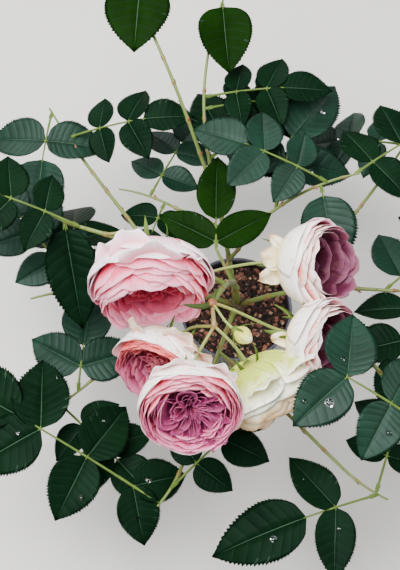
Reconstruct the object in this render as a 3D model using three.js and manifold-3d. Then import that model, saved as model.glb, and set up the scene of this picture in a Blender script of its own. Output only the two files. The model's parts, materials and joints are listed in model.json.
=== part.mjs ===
// A potted rose bush in millimetres, +Z up, with its origin at the middle of the pot's flat underside.
// A short woody base in a filled nursery pot carries lax canes with leafy shoots all round, and
// one flower cane whose nodding cluster has six cupped blooms and a bud.

import * as THREE from 'three';
import { mergeVertices } from 'three/addons/utils/BufferGeometryUtils.js';
import Module from 'manifold-3d';

const wasm = await Module();
wasm.setup();

// Clearance between neighbouring pieces.
const GAP = 0.3;

// The pot: a thin black plastic pot with a rolled rim and drain holes in its floor.
const POT_HEIGHT = 92;
const POT_RIM_RADIUS = 52.5;
const POT_BASE_RADIUS = 36;
const POT_WALL = 1.2;
const POT_FLOOR = 1.6;
const RIM_OVERHANG = 1.8;
const RIM_HEIGHT = 3.4;
const POT_SEGMENTS = 40;
const DRAIN_HOLES = 5;
const DRAIN_RADIUS = 4;
const DRAIN_RING_RADIUS = 22;
const DRAIN_SEGMENTS = 10;

// The potting grit fills the pot to just under its rim.
const SOIL_TOP = 84;
const SOIL_SEGMENTS = 30;
const SOIL_RINGS = 5;
const SOIL_FLAT_RADIUS = 12;
const GRAIN_HEIGHT = 2.2;
const GRAIN_SEED = 7;

// The woody base of the plant, from a flat cut at the soil to its domed top. Canes start on it at
// this share of its height and above.
const BASE_HEIGHT = 22;
const BASE_RADIUS = 6.2;
const BASE_FLARE = 2.6;
const BASE_SEGMENTS = 12;
const LOWEST_CANE = 0.4;

// A leaflet is a folded lens of six corners about a thick middle, given as shares of its length
// and half width. Its root is sunk into the rachis.
const LEAFLET_CORNERS = [[1, 0], [0.68, 0.88], [0.25, 0.9], [0, 0], [0.25, -0.9], [0.68, -0.88]];
const LEAFLET_MIDDLE = [0.46, 0];
const LEAFLET_ASPECT = 0.74;
const LEAFLET_THICKNESS = 1.4;
const LEAFLET_FOLD = 0.2;
const LEAFLET_CURL = 0.1;
const ROOT_DEPTH = 1.6;

// A compound leaf has pairs of leaflets and one at its end. Distances between pairs are shares of
// the end leaflet's length, and each pair towards the base is smaller and swept further back.
const PAIR_SPACING = 0.6;
const END_SPACING = 0.3;
const PAIR_ANGLE = 68;
const PAIR_SWEEP = 14;
const PAIR_DROOP = 0.1;
const PAIR_SHRINK = 0.87;
const RACHIS_RADIUS = 1.3;
const RACHIS_TAPER = 0.8;
const RACHIS_SIDES = 3;
const RACHIS_STEPS = 2;

// Leaves of the rule keep this far from all others, from the limbs and from the blooms.
const LEAF_CLEARANCE = 8;
const LEAF_LOWEST = 100;
const CROWN_RADIUS = 250;

// The rule deals leaves out along a shoot by the golden angle. Each pair of numbers is a least
// value and the range above it that is drawn from.
const GOLDEN_ANGLE = 137.5;
const LEAF_SEED = 40;
const TRIES_PER_LEAF = 12;
const ALONG_RANGE = [0.12, 0.88];
const ALONG_STRIDE = 0.618;
const TURN_RANGE = [0, 30];
const PITCH_RANGE = [-26, 54];
const PETIOLE_RANGE = [20, 14];
const LEAFLET_RANGE = [46, 14];
const RULED_PAIRS = 2;
const RULED_DROOP = 16;

// Limbs have round sections, drawn with few sides. Their curves are eased by handles whose
// lengths are shares of the reach from start to tip.
const LIMB_SIDES = 6;
const LIMB_STEPS = 8;
const SHOOT_STEPS = 5;
const SHOOT_TAPER = 0.6;
const NODE_SWELL = 1.5;
const START_HANDLE = 0.4;
const TIP_HANDLE = 0.35;

// How many points along a limb, and along a shoot or stalk, stand for it when leaves keep clear.
const LIMB_SAMPLES = 24;
const SHOOT_SAMPLES = 12;

// Canes and boughs. Each starts on its parent at the share "at" of its length and ends at a tip
// given by azimuth, reach and height about the pot's axis. Pitches are in degrees above level.
// A leafy shoot of the given length grows on from the tip and carries leaves: those that the
// cane is known for, each with its own heading, and a number of others dealt out by rule.
const LIMBS = [
  {
    name: 'flower_cane', parent: 'stem_base', at: 1, azimuth: 250, reach: 72, height: 262,
    lift: 86, fall: 42, radius: 2.7, tipRadius: 2, node: true,
  },
  {
    name: 'side_branch', parent: 'flower_cane', at: 0.7, azimuth: 176, reach: 128, height: 238,
    lift: 30, fall: -8, radius: 2.1, tipRadius: 1.7,
    shoot: 34, shootTurn: -14, fill: 1,
    leaves: [
      { at: 0.6, azimuth: 280, pitch: 0, petiole: 6, leaflet: 86, pairs: 0, droop: 20, aspect: 0.5 },
    ],
  },
  {
    name: 'cane_left', parent: 'stem_base', at: 0.2, azimuth: 186, reach: 120, height: 168,
    lift: 52, fall: 6, radius: 2.4, tipRadius: 1.6,
    shoot: 62, shootTurn: 12, fill: 5,
    leaves: [],
  },
  {
    name: 'bough_front_left', parent: 'cane_left', at: 0.42, azimuth: 214, reach: 140, height: 142,
    lift: 30, fall: 6, radius: 1.9, tipRadius: 1.5,
    shoot: 62, shootTurn: -8, fill: 4,
    leaves: [
      { at: 0.5, azimuth: 84, pitch: 26, petiole: 22, leaflet: 60, pairs: 1, droop: 20 },
    ],
  },
  {
    name: 'bough_back_left', parent: 'cane_left', at: 0.5, azimuth: 140, reach: 184, height: 160,
    lift: 26, fall: 4, radius: 1.9, tipRadius: 1.5,
    shoot: 66, shootTurn: -6, fill: 4,
    leaves: [
      { at: 0.92, azimuth: 264, pitch: 12, petiole: 34, leaflet: 66, pairs: 1, droop: 18, splay: 94 },
    ],
  },
  {
    name: 'cane_back', parent: 'stem_base', at: 0.2, azimuth: 103, reach: 108, height: 172,
    lift: 56, fall: 24, radius: 2.4, tipRadius: 1.7,
    shoot: 160, shootTurn: -35, fill: 4,
    leaves: [
      { at: 0.04, azimuth: 46, pitch: 4, petiole: 24, leaflet: 84, pairs: 1, droop: 8, aspect: 0.6 },
      { at: 0.98, azimuth: 274, pitch: 20, petiole: 6, leaflet: 66, pairs: 0, droop: 20 },
    ],
  },
  {
    name: 'bough_back_centre', parent: 'cane_back', at: 0.55, azimuth: 128, reach: 100, height: 148,
    lift: 20, fall: 6, radius: 1.7, tipRadius: 1.3,
    shoot: 50, shootTurn: 20, fill: 3,
    leaves: [
      { at: 0.1, azimuth: 250, pitch: 10, petiole: 18, leaflet: 42, pairs: 1, droop: 14, splay: 84 },
    ],
  },
  {
    name: 'bough_back_high', parent: 'cane_back', at: 0.7, azimuth: 111, reach: 206, height: 246,
    lift: 40, fall: 16, radius: 1.8, tipRadius: 1.4,
    shoot: 60, shootTurn: -24, fill: 3,
    leaves: [
      { at: 0.94, azimuth: 266, pitch: 20, petiole: 6, leaflet: 62, pairs: 0, droop: 20, aspect: 0.94 },
    ],
  },
  {
    name: 'bough_back_right', parent: 'cane_back', at: 0.34, azimuth: 62, reach: 56, height: 186,
    lift: 50, fall: 30, radius: 1.9, tipRadius: 1.5,
    shoot: 90, shootTurn: -30, fill: 4,
    leaves: [
      {
        at: 0.08, azimuth: 77, pitch: 14, petiole: 46, leaflet: 76, pairs: 1, droop: 8,
        splay: 88, endTurn: 22, aspect: 0.64, shrink: 0.8,
      },
      { at: 0.6, azimuth: 280, pitch: -4, petiole: 10, leaflet: 66, pairs: 0, droop: 10 },
    ],
  },
  {
    name: 'cane_right', parent: 'stem_base', at: 0.2, azimuth: -8, reach: 120, height: 172,
    lift: 54, fall: 8, radius: 2.4, tipRadius: 1.6,
    shoot: 66, shootTurn: 10, fill: 5,
    leaves: [
      { at: 0.1, azimuth: 40, pitch: 6, petiole: 20, leaflet: 58, pairs: 1, droop: 16 },
    ],
  },
  {
    name: 'bough_front_right', parent: 'cane_right', at: 0.45, azimuth: -52, reach: 188, height: 266,
    lift: 40, fall: 18, radius: 1.9, tipRadius: 1.5,
    shoot: 40, shootTurn: 6, fill: 4,
    leaves: [
      {
        at: 0.5, azimuth: 150, pitch: 20, petiole: 24, leaflet: 62, pairs: 2, droop: 16,
        splay: 70, sweep: 23, bare: true,
      },
    ],
  },
  {
    name: 'bough_right_back', parent: 'cane_right', at: 0.5, azimuth: 34, reach: 150, height: 174,
    lift: 30, fall: 8, radius: 1.8, tipRadius: 1.4,
    shoot: 60, shootTurn: 8, fill: 4,
    leaves: [],
  },
  {
    name: 'cane_front', parent: 'stem_base', at: 0.2, azimuth: 254, reach: 168, height: 158,
    lift: 44, fall: 8, radius: 2.3, tipRadius: 1.6,
    shoot: 48, shootTurn: -24, fill: 3,
    leaves: [
      {
        at: 0.94, azimuth: 150, pitch: 20, petiole: 26, leaflet: 74, pairs: 3, droop: 20,
        splay: 58, sweep: 38,
      },
    ],
  },
  {
    name: 'bough_front_side', parent: 'cane_front', at: 0.4, azimuth: -64, reach: 190, height: 158,
    lift: 24, fall: 6, radius: 1.8, tipRadius: 1.4,
    shoot: 44, shootTurn: 20, fill: 4,
    leaves: [
      {
        at: 0.8, azimuth: 198, pitch: 14, petiole: 38, leaflet: 84, pairs: 1, droop: 20,
        aspect: 0.58, shrink: 0.68,
      },
    ],
  },
];

// A leafy shoot that grows straight from the flower cane, under the blooms.
const CENTRE_SHOOT = {
  name: 'leafy_centre', parent: 'flower_cane', at: 0.46, azimuth: 160, reach: 22, height: 204,
  lift: 34, fall: 20, radius: 1.7, tipRadius: 1.2, fill: 2,
  leaves: [
    {
      at: 0.98, azimuth: 90, pitch: 16, petiole: 6, leaflet: 66, pairs: 1, droop: 10,
      splay: 60, aspect: 0.52,
    },
  ],
};

// Flower stalks. Each leaves its parent and enters the back of its bloom along the bloom's axis.
const STALK_RADIUS = 1.3;
const STALK_TIP_RADIUS = 1.5;
const STALK_STEPS = 7;
const STALK_ARCH = 0.12;
const BUD_SLIM = 0.8;
const LOWER_STALK_RADIUS = 1.6;
const LOWER_STALK_TIP_RADIUS = 1.4;

// Where the lower three blooms' stalks part from one another, below the end of the flower cane.
const LOWER_NODE = [-23, -84, 255];

// Blooms: middle of the flower, the way it faces, its radius and how deep its cup is.
const BLOOMS = [
  {
    name: 'bloom_1', parent: 'side_branch', at: 0.86, centre: [-73, -43, 258],
    facing: [0.1, -0.99, 0.04], radius: 48, depth: 1.24, cup: 0.3, colour: '#e79aa6',
  },
  {
    name: 'bloom_2', parent: 'side_branch', at: 0.14, centre: [56, -28, 250],
    facing: [0.82, -0.27, 0.49], radius: 34, depth: 1.56, cup: 0.75, colour: '#e3b3c4',
  },
  {
    name: 'bloom_3', parent: 'flower_cane', at: 1, centre: [61, -90, 238],
    facing: [0.85, -0.38, 0.36], radius: 33, depth: 1.56, cup: 0.7, colour: '#dda6b8',
  },
  {
    name: 'bloom_4', parent: 'lower_stalk', at: 1, centre: [-62, -100, 217],
    facing: [-0.45, -0.86, 0.11], radius: 41, depth: 1.16, cup: 0.35, colour: '#e5909c',
  },
  {
    name: 'bloom_5', parent: 'lower_stalk', at: 1, centre: [-42, -145, 260],
    facing: [0.05, -0.86, 0.5], radius: 41, depth: 1, cup: 0.22, colour: '#d48aaa',
  },
  {
    name: 'bloom_6', parent: 'lower_stalk', at: 1, centre: [13, -124, 229],
    facing: [0.5, -0.7, -0.53], radius: 36, depth: 1.3, cup: 0.6, colour: '#ece4b8',
  },
];
const BUD = {
  name: 'bud', parent: 'flower_cane', at: 1, centre: [-2, -96, 267],
  facing: [0.7, -0.58, 0.07], radius: 7, depth: 2.7, colour: '#dfe0a0',
};
const BLOOM_SEGMENTS = 20;
const BUD_SEGMENTS = 10;

// Each row of petals has lobes, turned by this many radians from one row to the next. The spans
// are how far the lobes swell the petals outwards and forwards, about their own profile.
const PETAL_LOBES = 5;
const LOBE_TURN = 0.7;
const LOBE_OUT = [0.93, 0.09];
const LOBE_FORWARD = [0.96, 0.06];

const ROOT_COLOUR = '#6a5138';
const CANE_COLOUR = '#5d7a36';
const LEAF_COLOUR = '#244536';

// Seeded random numbers from 0 to 1, the same on every run.
function randomFrom(seed) {
  let state = seed >>> 0;
  return () => {
    state = (Math.imul(state, 1664525) + 1013904223) >>> 0;
    return state / 4294967296;
  };
}

// Unit vector with an azimuth from +X towards +Y and a pitch above level, in degrees.
function heading(azimuth, pitch) {
  const a = THREE.MathUtils.degToRad(azimuth);
  const p = THREE.MathUtils.degToRad(pitch);
  return new THREE.Vector3(Math.cos(a) * Math.cos(p), Math.sin(a) * Math.cos(p), Math.sin(p));
}

function azimuthOf(vector) {
  return THREE.MathUtils.radToDeg(Math.atan2(vector.y, vector.x));
}

// A closed geometry as a solid that can be joined and cut.
function toSolid(geometry) {
  geometry.deleteAttribute('normal');
  geometry.deleteAttribute('uv');
  const merged = mergeVertices(geometry, 1e-4);
  return new wasm.Manifold(new wasm.Mesh({
    numProp: 3,
    vertProperties: merged.getAttribute('position').array,
    triVerts: new Uint32Array(merged.index.array),
  }));
}

function toGeometry(solid) {
  const mesh = solid.getMesh();
  const geometry = new THREE.BufferGeometry();
  geometry.setAttribute('position', new THREE.BufferAttribute(mesh.vertProperties, 3));
  geometry.setIndex(new THREE.BufferAttribute(mesh.triVerts, 1));
  geometry.computeVertexNormals();
  return geometry;
}

function joined(solids) {
  return solids.reduce((whole, piece) => whole.add(piece));
}

// The largest of the pieces that a cut leaves.
function mainPiece(solid) {
  return solid.decompose().reduce((best, piece) => (piece.volume() > best.volume() ? piece : best));
}

// A turned shape about +Z from [radius, height] points.
function turned(points, segments) {
  const geometry = new THREE.LatheGeometry(points.map(([r, z]) => new THREE.Vector2(r, z)), segments);
  return geometry.rotateX(Math.PI / 2);
}

function ball(centre, radius) {
  const geometry = new THREE.SphereGeometry(radius, 8, 6);
  return toSolid(geometry.translate(centre.x, centre.y, centre.z));
}

// A tapering round limb along a curve, made from a cylinder whose rings are laid along it.
function limbSolid(curve, baseRadius, tipRadius, sides, steps) {
  const geometry = new THREE.CylinderGeometry(1, 1, 1, sides, steps);
  const frames = curve.computeFrenetFrames(steps);
  const position = geometry.getAttribute('position');
  for (let i = 0; i < position.count; i += 1) {
    const step = Math.round((position.getY(i) + 0.5) * steps);
    const radius = baseRadius + ((tipRadius - baseRadius) * step) / steps;
    const point = curve.getPointAt(step / steps)
      .addScaledVector(frames.binormals[step], position.getX(i) * radius)
      .addScaledVector(frames.normals[step], position.getZ(i) * radius);
    position.setXYZ(i, point.x, point.y, point.z);
  }
  return toSolid(geometry);
}

// The radius of the pot's inner wall at a height.
function potInside(z) {
  const rise = (z - POT_FLOOR) / (POT_HEIGHT - RIM_HEIGHT - POT_FLOOR);
  return POT_BASE_RADIUS - POT_WALL + (POT_RIM_RADIUS - RIM_OVERHANG - POT_BASE_RADIUS) * rise;
}

function pot() {
  const body = toSolid(turned([
    [0, 0],
    [POT_BASE_RADIUS - 1, 0],
    [POT_BASE_RADIUS, 1],
    [POT_RIM_RADIUS - RIM_OVERHANG, POT_HEIGHT - RIM_HEIGHT],
    [POT_RIM_RADIUS - RIM_OVERHANG / 4, POT_HEIGHT - RIM_HEIGHT],
    [POT_RIM_RADIUS, POT_HEIGHT - RIM_HEIGHT / 2],
    [POT_RIM_RADIUS - RIM_OVERHANG / 2, POT_HEIGHT],
    [potInside(POT_HEIGHT) + POT_WALL / 2, POT_HEIGHT],
    [potInside(POT_HEIGHT - 1), POT_HEIGHT - 1],
    [potInside(POT_FLOOR), POT_FLOOR],
    [0, POT_FLOOR],
  ], POT_SEGMENTS));
  const hole = new THREE.CylinderGeometry(DRAIN_RADIUS, DRAIN_RADIUS, POT_FLOOR * 4, DRAIN_SEGMENTS)
    .rotateX(Math.PI / 2)
    .translate(DRAIN_RING_RADIUS, 0, 0);
  const drain = toSolid(hole);
  let drained = body;
  for (let i = 0; i < DRAIN_HOLES; i += 1) {
    drained = drained.subtract(drain.rotate([0, 0, (360 * i) / DRAIN_HOLES]));
  }
  return drained;
}

// The grit keeps clear of the pot's wall and has a bumpy top, flat only under the woody base.
function soil() {
  const bottom = POT_FLOOR + GAP;
  const shoulder = SOIL_TOP - GRAIN_HEIGHT;
  const outer = potInside(shoulder) - 2 * GAP;
  const points = [[0, bottom], [potInside(bottom) - 2 * GAP, bottom], [outer, shoulder]];
  for (let ring = 0; ring < SOIL_RINGS; ring += 1) {
    const share = ring / (SOIL_RINGS - 1);
    points.push([outer - 2 - (outer - 2 - SOIL_FLAT_RADIUS) * share, SOIL_TOP]);
  }
  points.push([0, SOIL_TOP]);
  const geometry = turned(points, SOIL_SEGMENTS);
  const position = geometry.getAttribute('position');
  const firstRing = 3;
  const lastRing = firstRing + SOIL_RINGS - 2;
  for (let i = 0; i < position.count; i += 1) {
    const row = i % points.length;
    if (row >= firstRing && row <= lastRing) {
      const segment = Math.floor(i / points.length) % SOIL_SEGMENTS;
      const random = randomFrom((row * SOIL_SEGMENTS + segment) * 977 + GRAIN_SEED);
      random();
      position.setZ(i, SOIL_TOP - GRAIN_HEIGHT + 2 * GRAIN_HEIGHT * random());
    }
  }
  return toSolid(geometry);
}

// The woody base, grown by "extra" when it is used to trim what starts on it.
function stemBase(extra) {
  const foot = SOIL_TOP + GAP - extra;
  const top = SOIL_TOP + GAP + BASE_HEIGHT + extra;
  const radius = BASE_RADIUS + extra;
  return toSolid(turned([
    [0, foot],
    [radius + BASE_FLARE, foot],
    [radius + BASE_FLARE * 0.3, foot + BASE_HEIGHT * 0.22],
    [radius * 0.92, foot + BASE_HEIGHT * 0.5],
    [radius * 1.05, foot + BASE_HEIGHT * 0.74],
    [radius * 0.72, top - BASE_HEIGHT * 0.08],
    [0, top],
  ], BASE_SEGMENTS));
}

// Every limb that others can start on: its curve and a way to build it, grown by "extra".
const parents = {
  stem_base: {
    curve: new THREE.LineCurve3(
      new THREE.Vector3(0, 0, SOIL_TOP + BASE_HEIGHT * LOWEST_CANE),
      new THREE.Vector3(0, 0, SOIL_TOP + BASE_HEIGHT),
    ),
    build: stemBase,
  },
};

// A curve that leaves "start" at one pitch and reaches "tip" at another.
function sweep(start, tip, lift, fall) {
  const across = azimuthOf(tip.clone().sub(start));
  const reach = start.distanceTo(tip);
  return new THREE.CubicBezierCurve3(
    start,
    start.clone().addScaledVector(heading(across, lift), reach * START_HANDLE),
    tip.clone().addScaledVector(heading(across, fall), -reach * TIP_HANDLE),
    tip,
  );
}

function limbCurve(limb) {
  const start = parents[limb.parent].curve.getPoint(limb.at);
  const out = heading(limb.azimuth, 0);
  const tip = new THREE.Vector3(out.x * limb.reach, out.y * limb.reach, limb.height);
  return sweep(start, tip, limb.lift, limb.fall);
}

// A limb's solid, cut clear of the one that it starts on.
function trimmed(limb, curve, sides, steps) {
  const build = (extra) => {
    const stem = limbSolid(curve, limb.radius + extra, limb.tipRadius + extra, sides, steps);
    return limb.node ? stem.add(ball(curve.getPoint(1), limb.tipRadius + NODE_SWELL + extra)) : stem;
  };
  parents[limb.name] = { curve, build };
  return mainPiece(build(0).subtract(parents[limb.parent].build(GAP)));
}

// The leafy shoot that grows on from a limb's tip, just clear of it.
function shootCurve(limb, curve) {
  const along = curve.getTangent(1);
  const start = curve.getPoint(1).addScaledVector(along, GAP);
  const turn = azimuthOf(along) + limb.shootTurn;
  return new THREE.QuadraticBezierCurve3(
    start,
    start.clone().addScaledVector(along, limb.shoot * 0.5),
    start.clone().addScaledVector(along, limb.shoot * 0.5)
      .addScaledVector(heading(turn, limb.fall - 4), limb.shoot * 0.5),
  );
}

// The leaflets of one compound leaf, each with its root, direction, normal, length and width.
function leafletsOf(leaf) {
  const spacing = leaf.leaflet * PAIR_SPACING;
  const length = leaf.petiole + Math.max(leaf.pairs - 1, 0) * spacing
    + (leaf.pairs && !leaf.bare ? leaf.leaflet * END_SPACING : 0);
  const middle = leaf.base.clone().addScaledVector(heading(leaf.azimuth, leaf.pitch), length / 2);
  const end = middle.clone()
    .addScaledVector(heading(leaf.azimuth, leaf.pitch - leaf.droop), length / 2);
  const rachis = new THREE.QuadraticBezierCurve3(leaf.base, middle, end);
  const leaflets = [];
  const place = (share, turn, size) => {
    const along = rachis.getTangent(share);
    const side = along.clone().cross(new THREE.Vector3(0, 0, 1)).normalize();
    const up = side.clone().cross(along);
    const angle = THREE.MathUtils.degToRad(turn);
    const direction = along.clone().multiplyScalar(Math.cos(angle))
      .addScaledVector(side, Math.sin(angle))
      .addScaledVector(up, -PAIR_DROOP)
      .normalize();
    const normal = up.clone().addScaledVector(direction, -up.dot(direction)).normalize();
    leaflets.push({
      root: rachis.getPoint(share),
      direction,
      normal,
      length: size,
      halfWidth: (size * (leaf.aspect ?? LEAFLET_ASPECT)) / 2,
    });
  };
  for (let pair = 0; pair < leaf.pairs; pair += 1) {
    const share = (leaf.petiole + (leaf.pairs - 1 - pair) * spacing) / length;
    const size = leaf.leaflet * (leaf.shrink ?? PAIR_SHRINK) ** (pair + 1);
    const turn = (leaf.splay ?? PAIR_ANGLE) + pair * (leaf.sweep ?? PAIR_SWEEP);
    place(share, turn, size);
    place(share, -turn, size);
  }
  if (!leaf.bare) {
    place(1, leaf.endTurn ?? 0, leaf.leaflet);
  }
  return { rachis, leaflets };
}

// A point of a leaflet at a share of its length and of its half width, on its folded blade.
function bladePoint(leaflet, along, across) {
  const side = leaflet.normal.clone().cross(leaflet.direction);
  const lift = LEAFLET_FOLD * Math.abs(across) * leaflet.halfWidth
    - LEAFLET_CURL * leaflet.length * along * along;
  return leaflet.root.clone()
    .addScaledVector(leaflet.direction, along * leaflet.length)
    .addScaledVector(side, across * leaflet.halfWidth)
    .addScaledVector(leaflet.normal, lift);
}

// A leaflet's solid: a sphere of two caps whose rim becomes the leaflet's outline.
function leafletSolid(leaflet) {
  const sunk = {
    ...leaflet,
    root: leaflet.root.clone().addScaledVector(leaflet.direction, -ROOT_DEPTH),
    length: leaflet.length + ROOT_DEPTH,
  };
  const geometry = new THREE.SphereGeometry(1, 6, 2, Math.PI / 2);
  const position = geometry.getAttribute('position');
  for (let i = 0; i < position.count; i += 1) {
    const cap = Math.round(position.getY(i));
    const [along, across] = cap === 0 ? LEAFLET_CORNERS[(i % 7) % 6] : LEAFLET_MIDDLE;
    const point = bladePoint(sunk, along, across)
      .addScaledVector(leaflet.normal, (cap * LEAFLET_THICKNESS) / 2);
    position.setXYZ(i, point.x, point.y, point.z);
  }
  return toSolid(geometry);
}

// Points spread over a leaflet's blade and along its rachis stand for a leaf when leaves are kept
// apart.
const BLADE_SAMPLES = [
  [0.2, 0], [0.45, 0], [0.7, 0], [0.98, 0], [0.3, 0.8], [0.6, 0.8], [0.3, -0.8], [0.6, -0.8],
];
const taken = [];

function leafSamples(leaf) {
  const { rachis, leaflets } = leafletsOf(leaf);
  const blades = leaflets.flatMap(
    (leaflet) => BLADE_SAMPLES.map(([along, across]) => bladePoint(leaflet, along, across)),
  );
  return [...blades, rachis.getPoint(0.4), rachis.getPoint(0.7), rachis.getPoint(1)];
}

function occupy(points, radius) {
  points.forEach((point) => taken.push({ point, radius }));
}

function fits(points) {
  return points.every((point) => point.z > LEAF_LOWEST
    && Math.hypot(point.x, point.y) < CROWN_RADIUS
    && taken.every((other) => other.point.distanceTo(point) > other.radius + LEAF_CLEARANCE));
}

// Leaves dealt out by rule along a shoot, by the golden angle. One that has no room is left out.
function ruledLeaves(limb, curve, seed) {
  const random = randomFrom(seed);
  const draw = ([least, range]) => least + range * random();
  const kept = [];
  const tries = limb.fill * TRIES_PER_LEAF;
  for (let i = 0; i < tries && kept.length < limb.fill; i += 1) {
    const at = ALONG_RANGE[0] + ALONG_RANGE[1] * ((i * ALONG_STRIDE) % 1);
    const leaf = {
      base: curve.getPoint(at),
      azimuth: azimuthOf(curve.getTangent(at)) + GOLDEN_ANGLE * i + draw(TURN_RANGE),
      pitch: draw(PITCH_RANGE),
      petiole: draw(PETIOLE_RANGE),
      leaflet: draw(LEAFLET_RANGE),
      pairs: RULED_PAIRS,
      droop: RULED_DROOP,
    };
    const samples = leafSamples(leaf);
    if (fits(samples)) {
      occupy(samples, 0);
      kept.push(leaf);
    }
  }
  return kept;
}

// One leafy mass: its stem with every leaf fused on.
function massSolid(stem, leaves) {
  const pieces = [stem];
  leaves.forEach((leaf) => {
    const { rachis, leaflets } = leafletsOf(leaf);
    pieces.push(limbSolid(rachis, RACHIS_RADIUS, RACHIS_RADIUS * RACHIS_TAPER, RACHIS_SIDES, RACHIS_STEPS));
    leaflets.forEach((leaflet) => pieces.push(leafletSolid(leaflet)));
  });
  return joined(pieces);
}

// A bloom's profile as [radius, height] shares, from the back of the calyx over the petal rows.
function bloomProfile(bloom) {
  const d = bloom.depth;
  const inner = d * (1 - bloom.cup * 0.75);
  return [
    [0, 0],
    [0.13, 0.03],
    [0.15, 0.16],
    [0.7, d * 0.28],
    [0.95, d * 0.58],
    [1, d * 0.84],
    [0.88, d * 0.97],
    [0.8, d * 0.88],
    [0.72, d],
    [0.56, (d + inner) / 2],
    [0.4, inner * 0.92],
    [0.26, inner],
    [0, inner * 0.86],
  ];
}

// A bloom: its turned profile with lobes for the petals, turned to face its own way. It is grown
// by "extra" where it is used to press a neighbour aside.
function bloomSolid(bloom, extra) {
  const profile = bloomProfile(bloom);
  const geometry = turned(profile.map(([r, z]) => [r * bloom.radius, z * bloom.radius]), BLOOM_SEGMENTS);
  const position = geometry.getAttribute('position');
  const firstPetal = 3;
  for (let i = 0; i < position.count; i += 1) {
    const row = i % profile.length;
    if (row >= firstPetal) {
      const angle = Math.atan2(position.getY(i), position.getX(i));
      const lobe = Math.abs(Math.cos(((angle + row * LOBE_TURN) * PETAL_LOBES) / 2));
      const out = LOBE_OUT[0] + LOBE_OUT[1] * lobe;
      const forward = LOBE_FORWARD[0] + LOBE_FORWARD[1] * lobe;
      position.setX(i, position.getX(i) * out);
      position.setY(i, position.getY(i) * out);
      position.setZ(i, position.getZ(i) * forward);
    }
  }
  const growth = 1 + (2 * extra) / bloom.radius;
  geometry.scale(growth, growth, growth).translate(0, 0, -extra);
  return toSolid(faced(geometry, bloom));
}

// The bud: a slim pointed egg on its calyx.
function budSolid(bud) {
  const points = [[0, 0], [0.42, 0.04], [0.5, 0.4], [0.95, 0.95], [1, 1.3], [0.6, 2.2], [0, 2.7]];
  const scaled = points.map(([r, z]) => [r * bud.radius, z * bud.radius]);
  return toSolid(faced(turned(scaled, BUD_SEGMENTS), bud));
}

function backOf(bloom) {
  const facing = new THREE.Vector3(...bloom.facing).normalize();
  return new THREE.Vector3(...bloom.centre)
    .addScaledVector(facing, (-bloom.radius * bloom.depth) / 2);
}

function faced(geometry, bloom) {
  const facing = new THREE.Vector3(...bloom.facing).normalize();
  const turn = new THREE.Quaternion().setFromUnitVectors(new THREE.Vector3(0, 0, 1), facing);
  const back = backOf(bloom);
  return geometry.applyQuaternion(turn).translate(back.x, back.y, back.z);
}

// A stalk from its parent into the back of a bloom.
function stalkCurve(bloom) {
  const start = parents[bloom.parent].curve.getPoint(bloom.at);
  const facing = new THREE.Vector3(...bloom.facing).normalize();
  const end = backOf(bloom).addScaledVector(facing, -GAP);
  const reach = start.distanceTo(end);
  return new THREE.CubicBezierCurve3(
    start,
    start.clone().lerp(end, 0.3).add(new THREE.Vector3(0, 0, reach * STALK_ARCH)),
    end.clone().addScaledVector(facing, -reach * TIP_HANDLE),
    end,
  );
}

const bush = new THREE.Group();
const placed = [];

function addNode(name, solid, colour, roughness) {
  const material = new THREE.MeshStandardMaterial({ color: colour, roughness, metalness: 0 });
  const mesh = new THREE.Mesh(toGeometry(solid), material);
  mesh.name = name;
  bush.add(mesh);
  placed.push({ name, solid });
}

addNode('pot', pot(), '#1d1c20', 0.45);
addNode('soil', soil(), '#7a4a3c', 0.95);
addNode('stem_base', stemBase(0), ROOT_COLOUR, 0.85);

// Limbs first, so that the leaves of the rule can keep clear of all of them.
const shoots = [];
LIMBS.forEach((limb, index) => {
  const curve = limbCurve(limb);
  addNode(limb.name, trimmed(limb, curve, LIMB_SIDES, LIMB_STEPS), CANE_COLOUR, 0.6);
  occupy(curve.getPoints(LIMB_SAMPLES), limb.radius);
  if (limb.shoot) {
    const grown = shootCurve(limb, curve);
    const name = limb.name.replace(/cane|bough|side/, 'leafy');
    const tipRadius = limb.tipRadius * SHOOT_TAPER;
    const stem = limbSolid(grown, limb.tipRadius, tipRadius, LIMB_SIDES, SHOOT_STEPS);
    shoots.push({ name, limb, curve: grown, stem, seed: LEAF_SEED + index });
    occupy(grown.getPoints(SHOOT_SAMPLES), limb.tipRadius);
  }
});
const centreCurve = limbCurve(CENTRE_SHOOT);
shoots.push({
  name: CENTRE_SHOOT.name,
  limb: CENTRE_SHOOT,
  curve: centreCurve,
  stem: trimmed(CENTRE_SHOOT, centreCurve, LIMB_SIDES, SHOOT_STEPS),
  seed: LEAF_SEED + LIMBS.length,
});

// Stalks and blooms. Where a bloom leans on a stalk or on another bloom, its petals give way.
const lowerStalk = {
  name: 'lower_stalk',
  parent: 'flower_cane',
  radius: LOWER_STALK_RADIUS,
  tipRadius: LOWER_STALK_TIP_RADIUS,
  node: true,
};
const lowerCurve = new THREE.LineCurve3(
  parents.flower_cane.curve.getPoint(1),
  new THREE.Vector3(...LOWER_NODE),
);
addNode('lower_stalk', trimmed(lowerStalk, lowerCurve, LIMB_SIDES, 2), CANE_COLOUR, 0.6);
[...BLOOMS, BUD].forEach((bloom) => {
  const slim = bloom === BUD ? BUD_SLIM : 1;
  const stalk = {
    name: bloom.name.replace('bloom', 'stalk').replace('bud', 'bud_stalk'),
    parent: bloom.parent,
    radius: STALK_RADIUS * slim,
    tipRadius: STALK_TIP_RADIUS * slim,
  };
  const curve = stalkCurve(bloom);
  addNode(stalk.name, trimmed(stalk, curve, LIMB_SIDES, STALK_STEPS), CANE_COLOUR, 0.6);
  occupy(curve.getPoints(SHOOT_SAMPLES), STALK_RADIUS);
});
const firm = Object.values(parents).map((limb) => limb.build(GAP));
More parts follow.
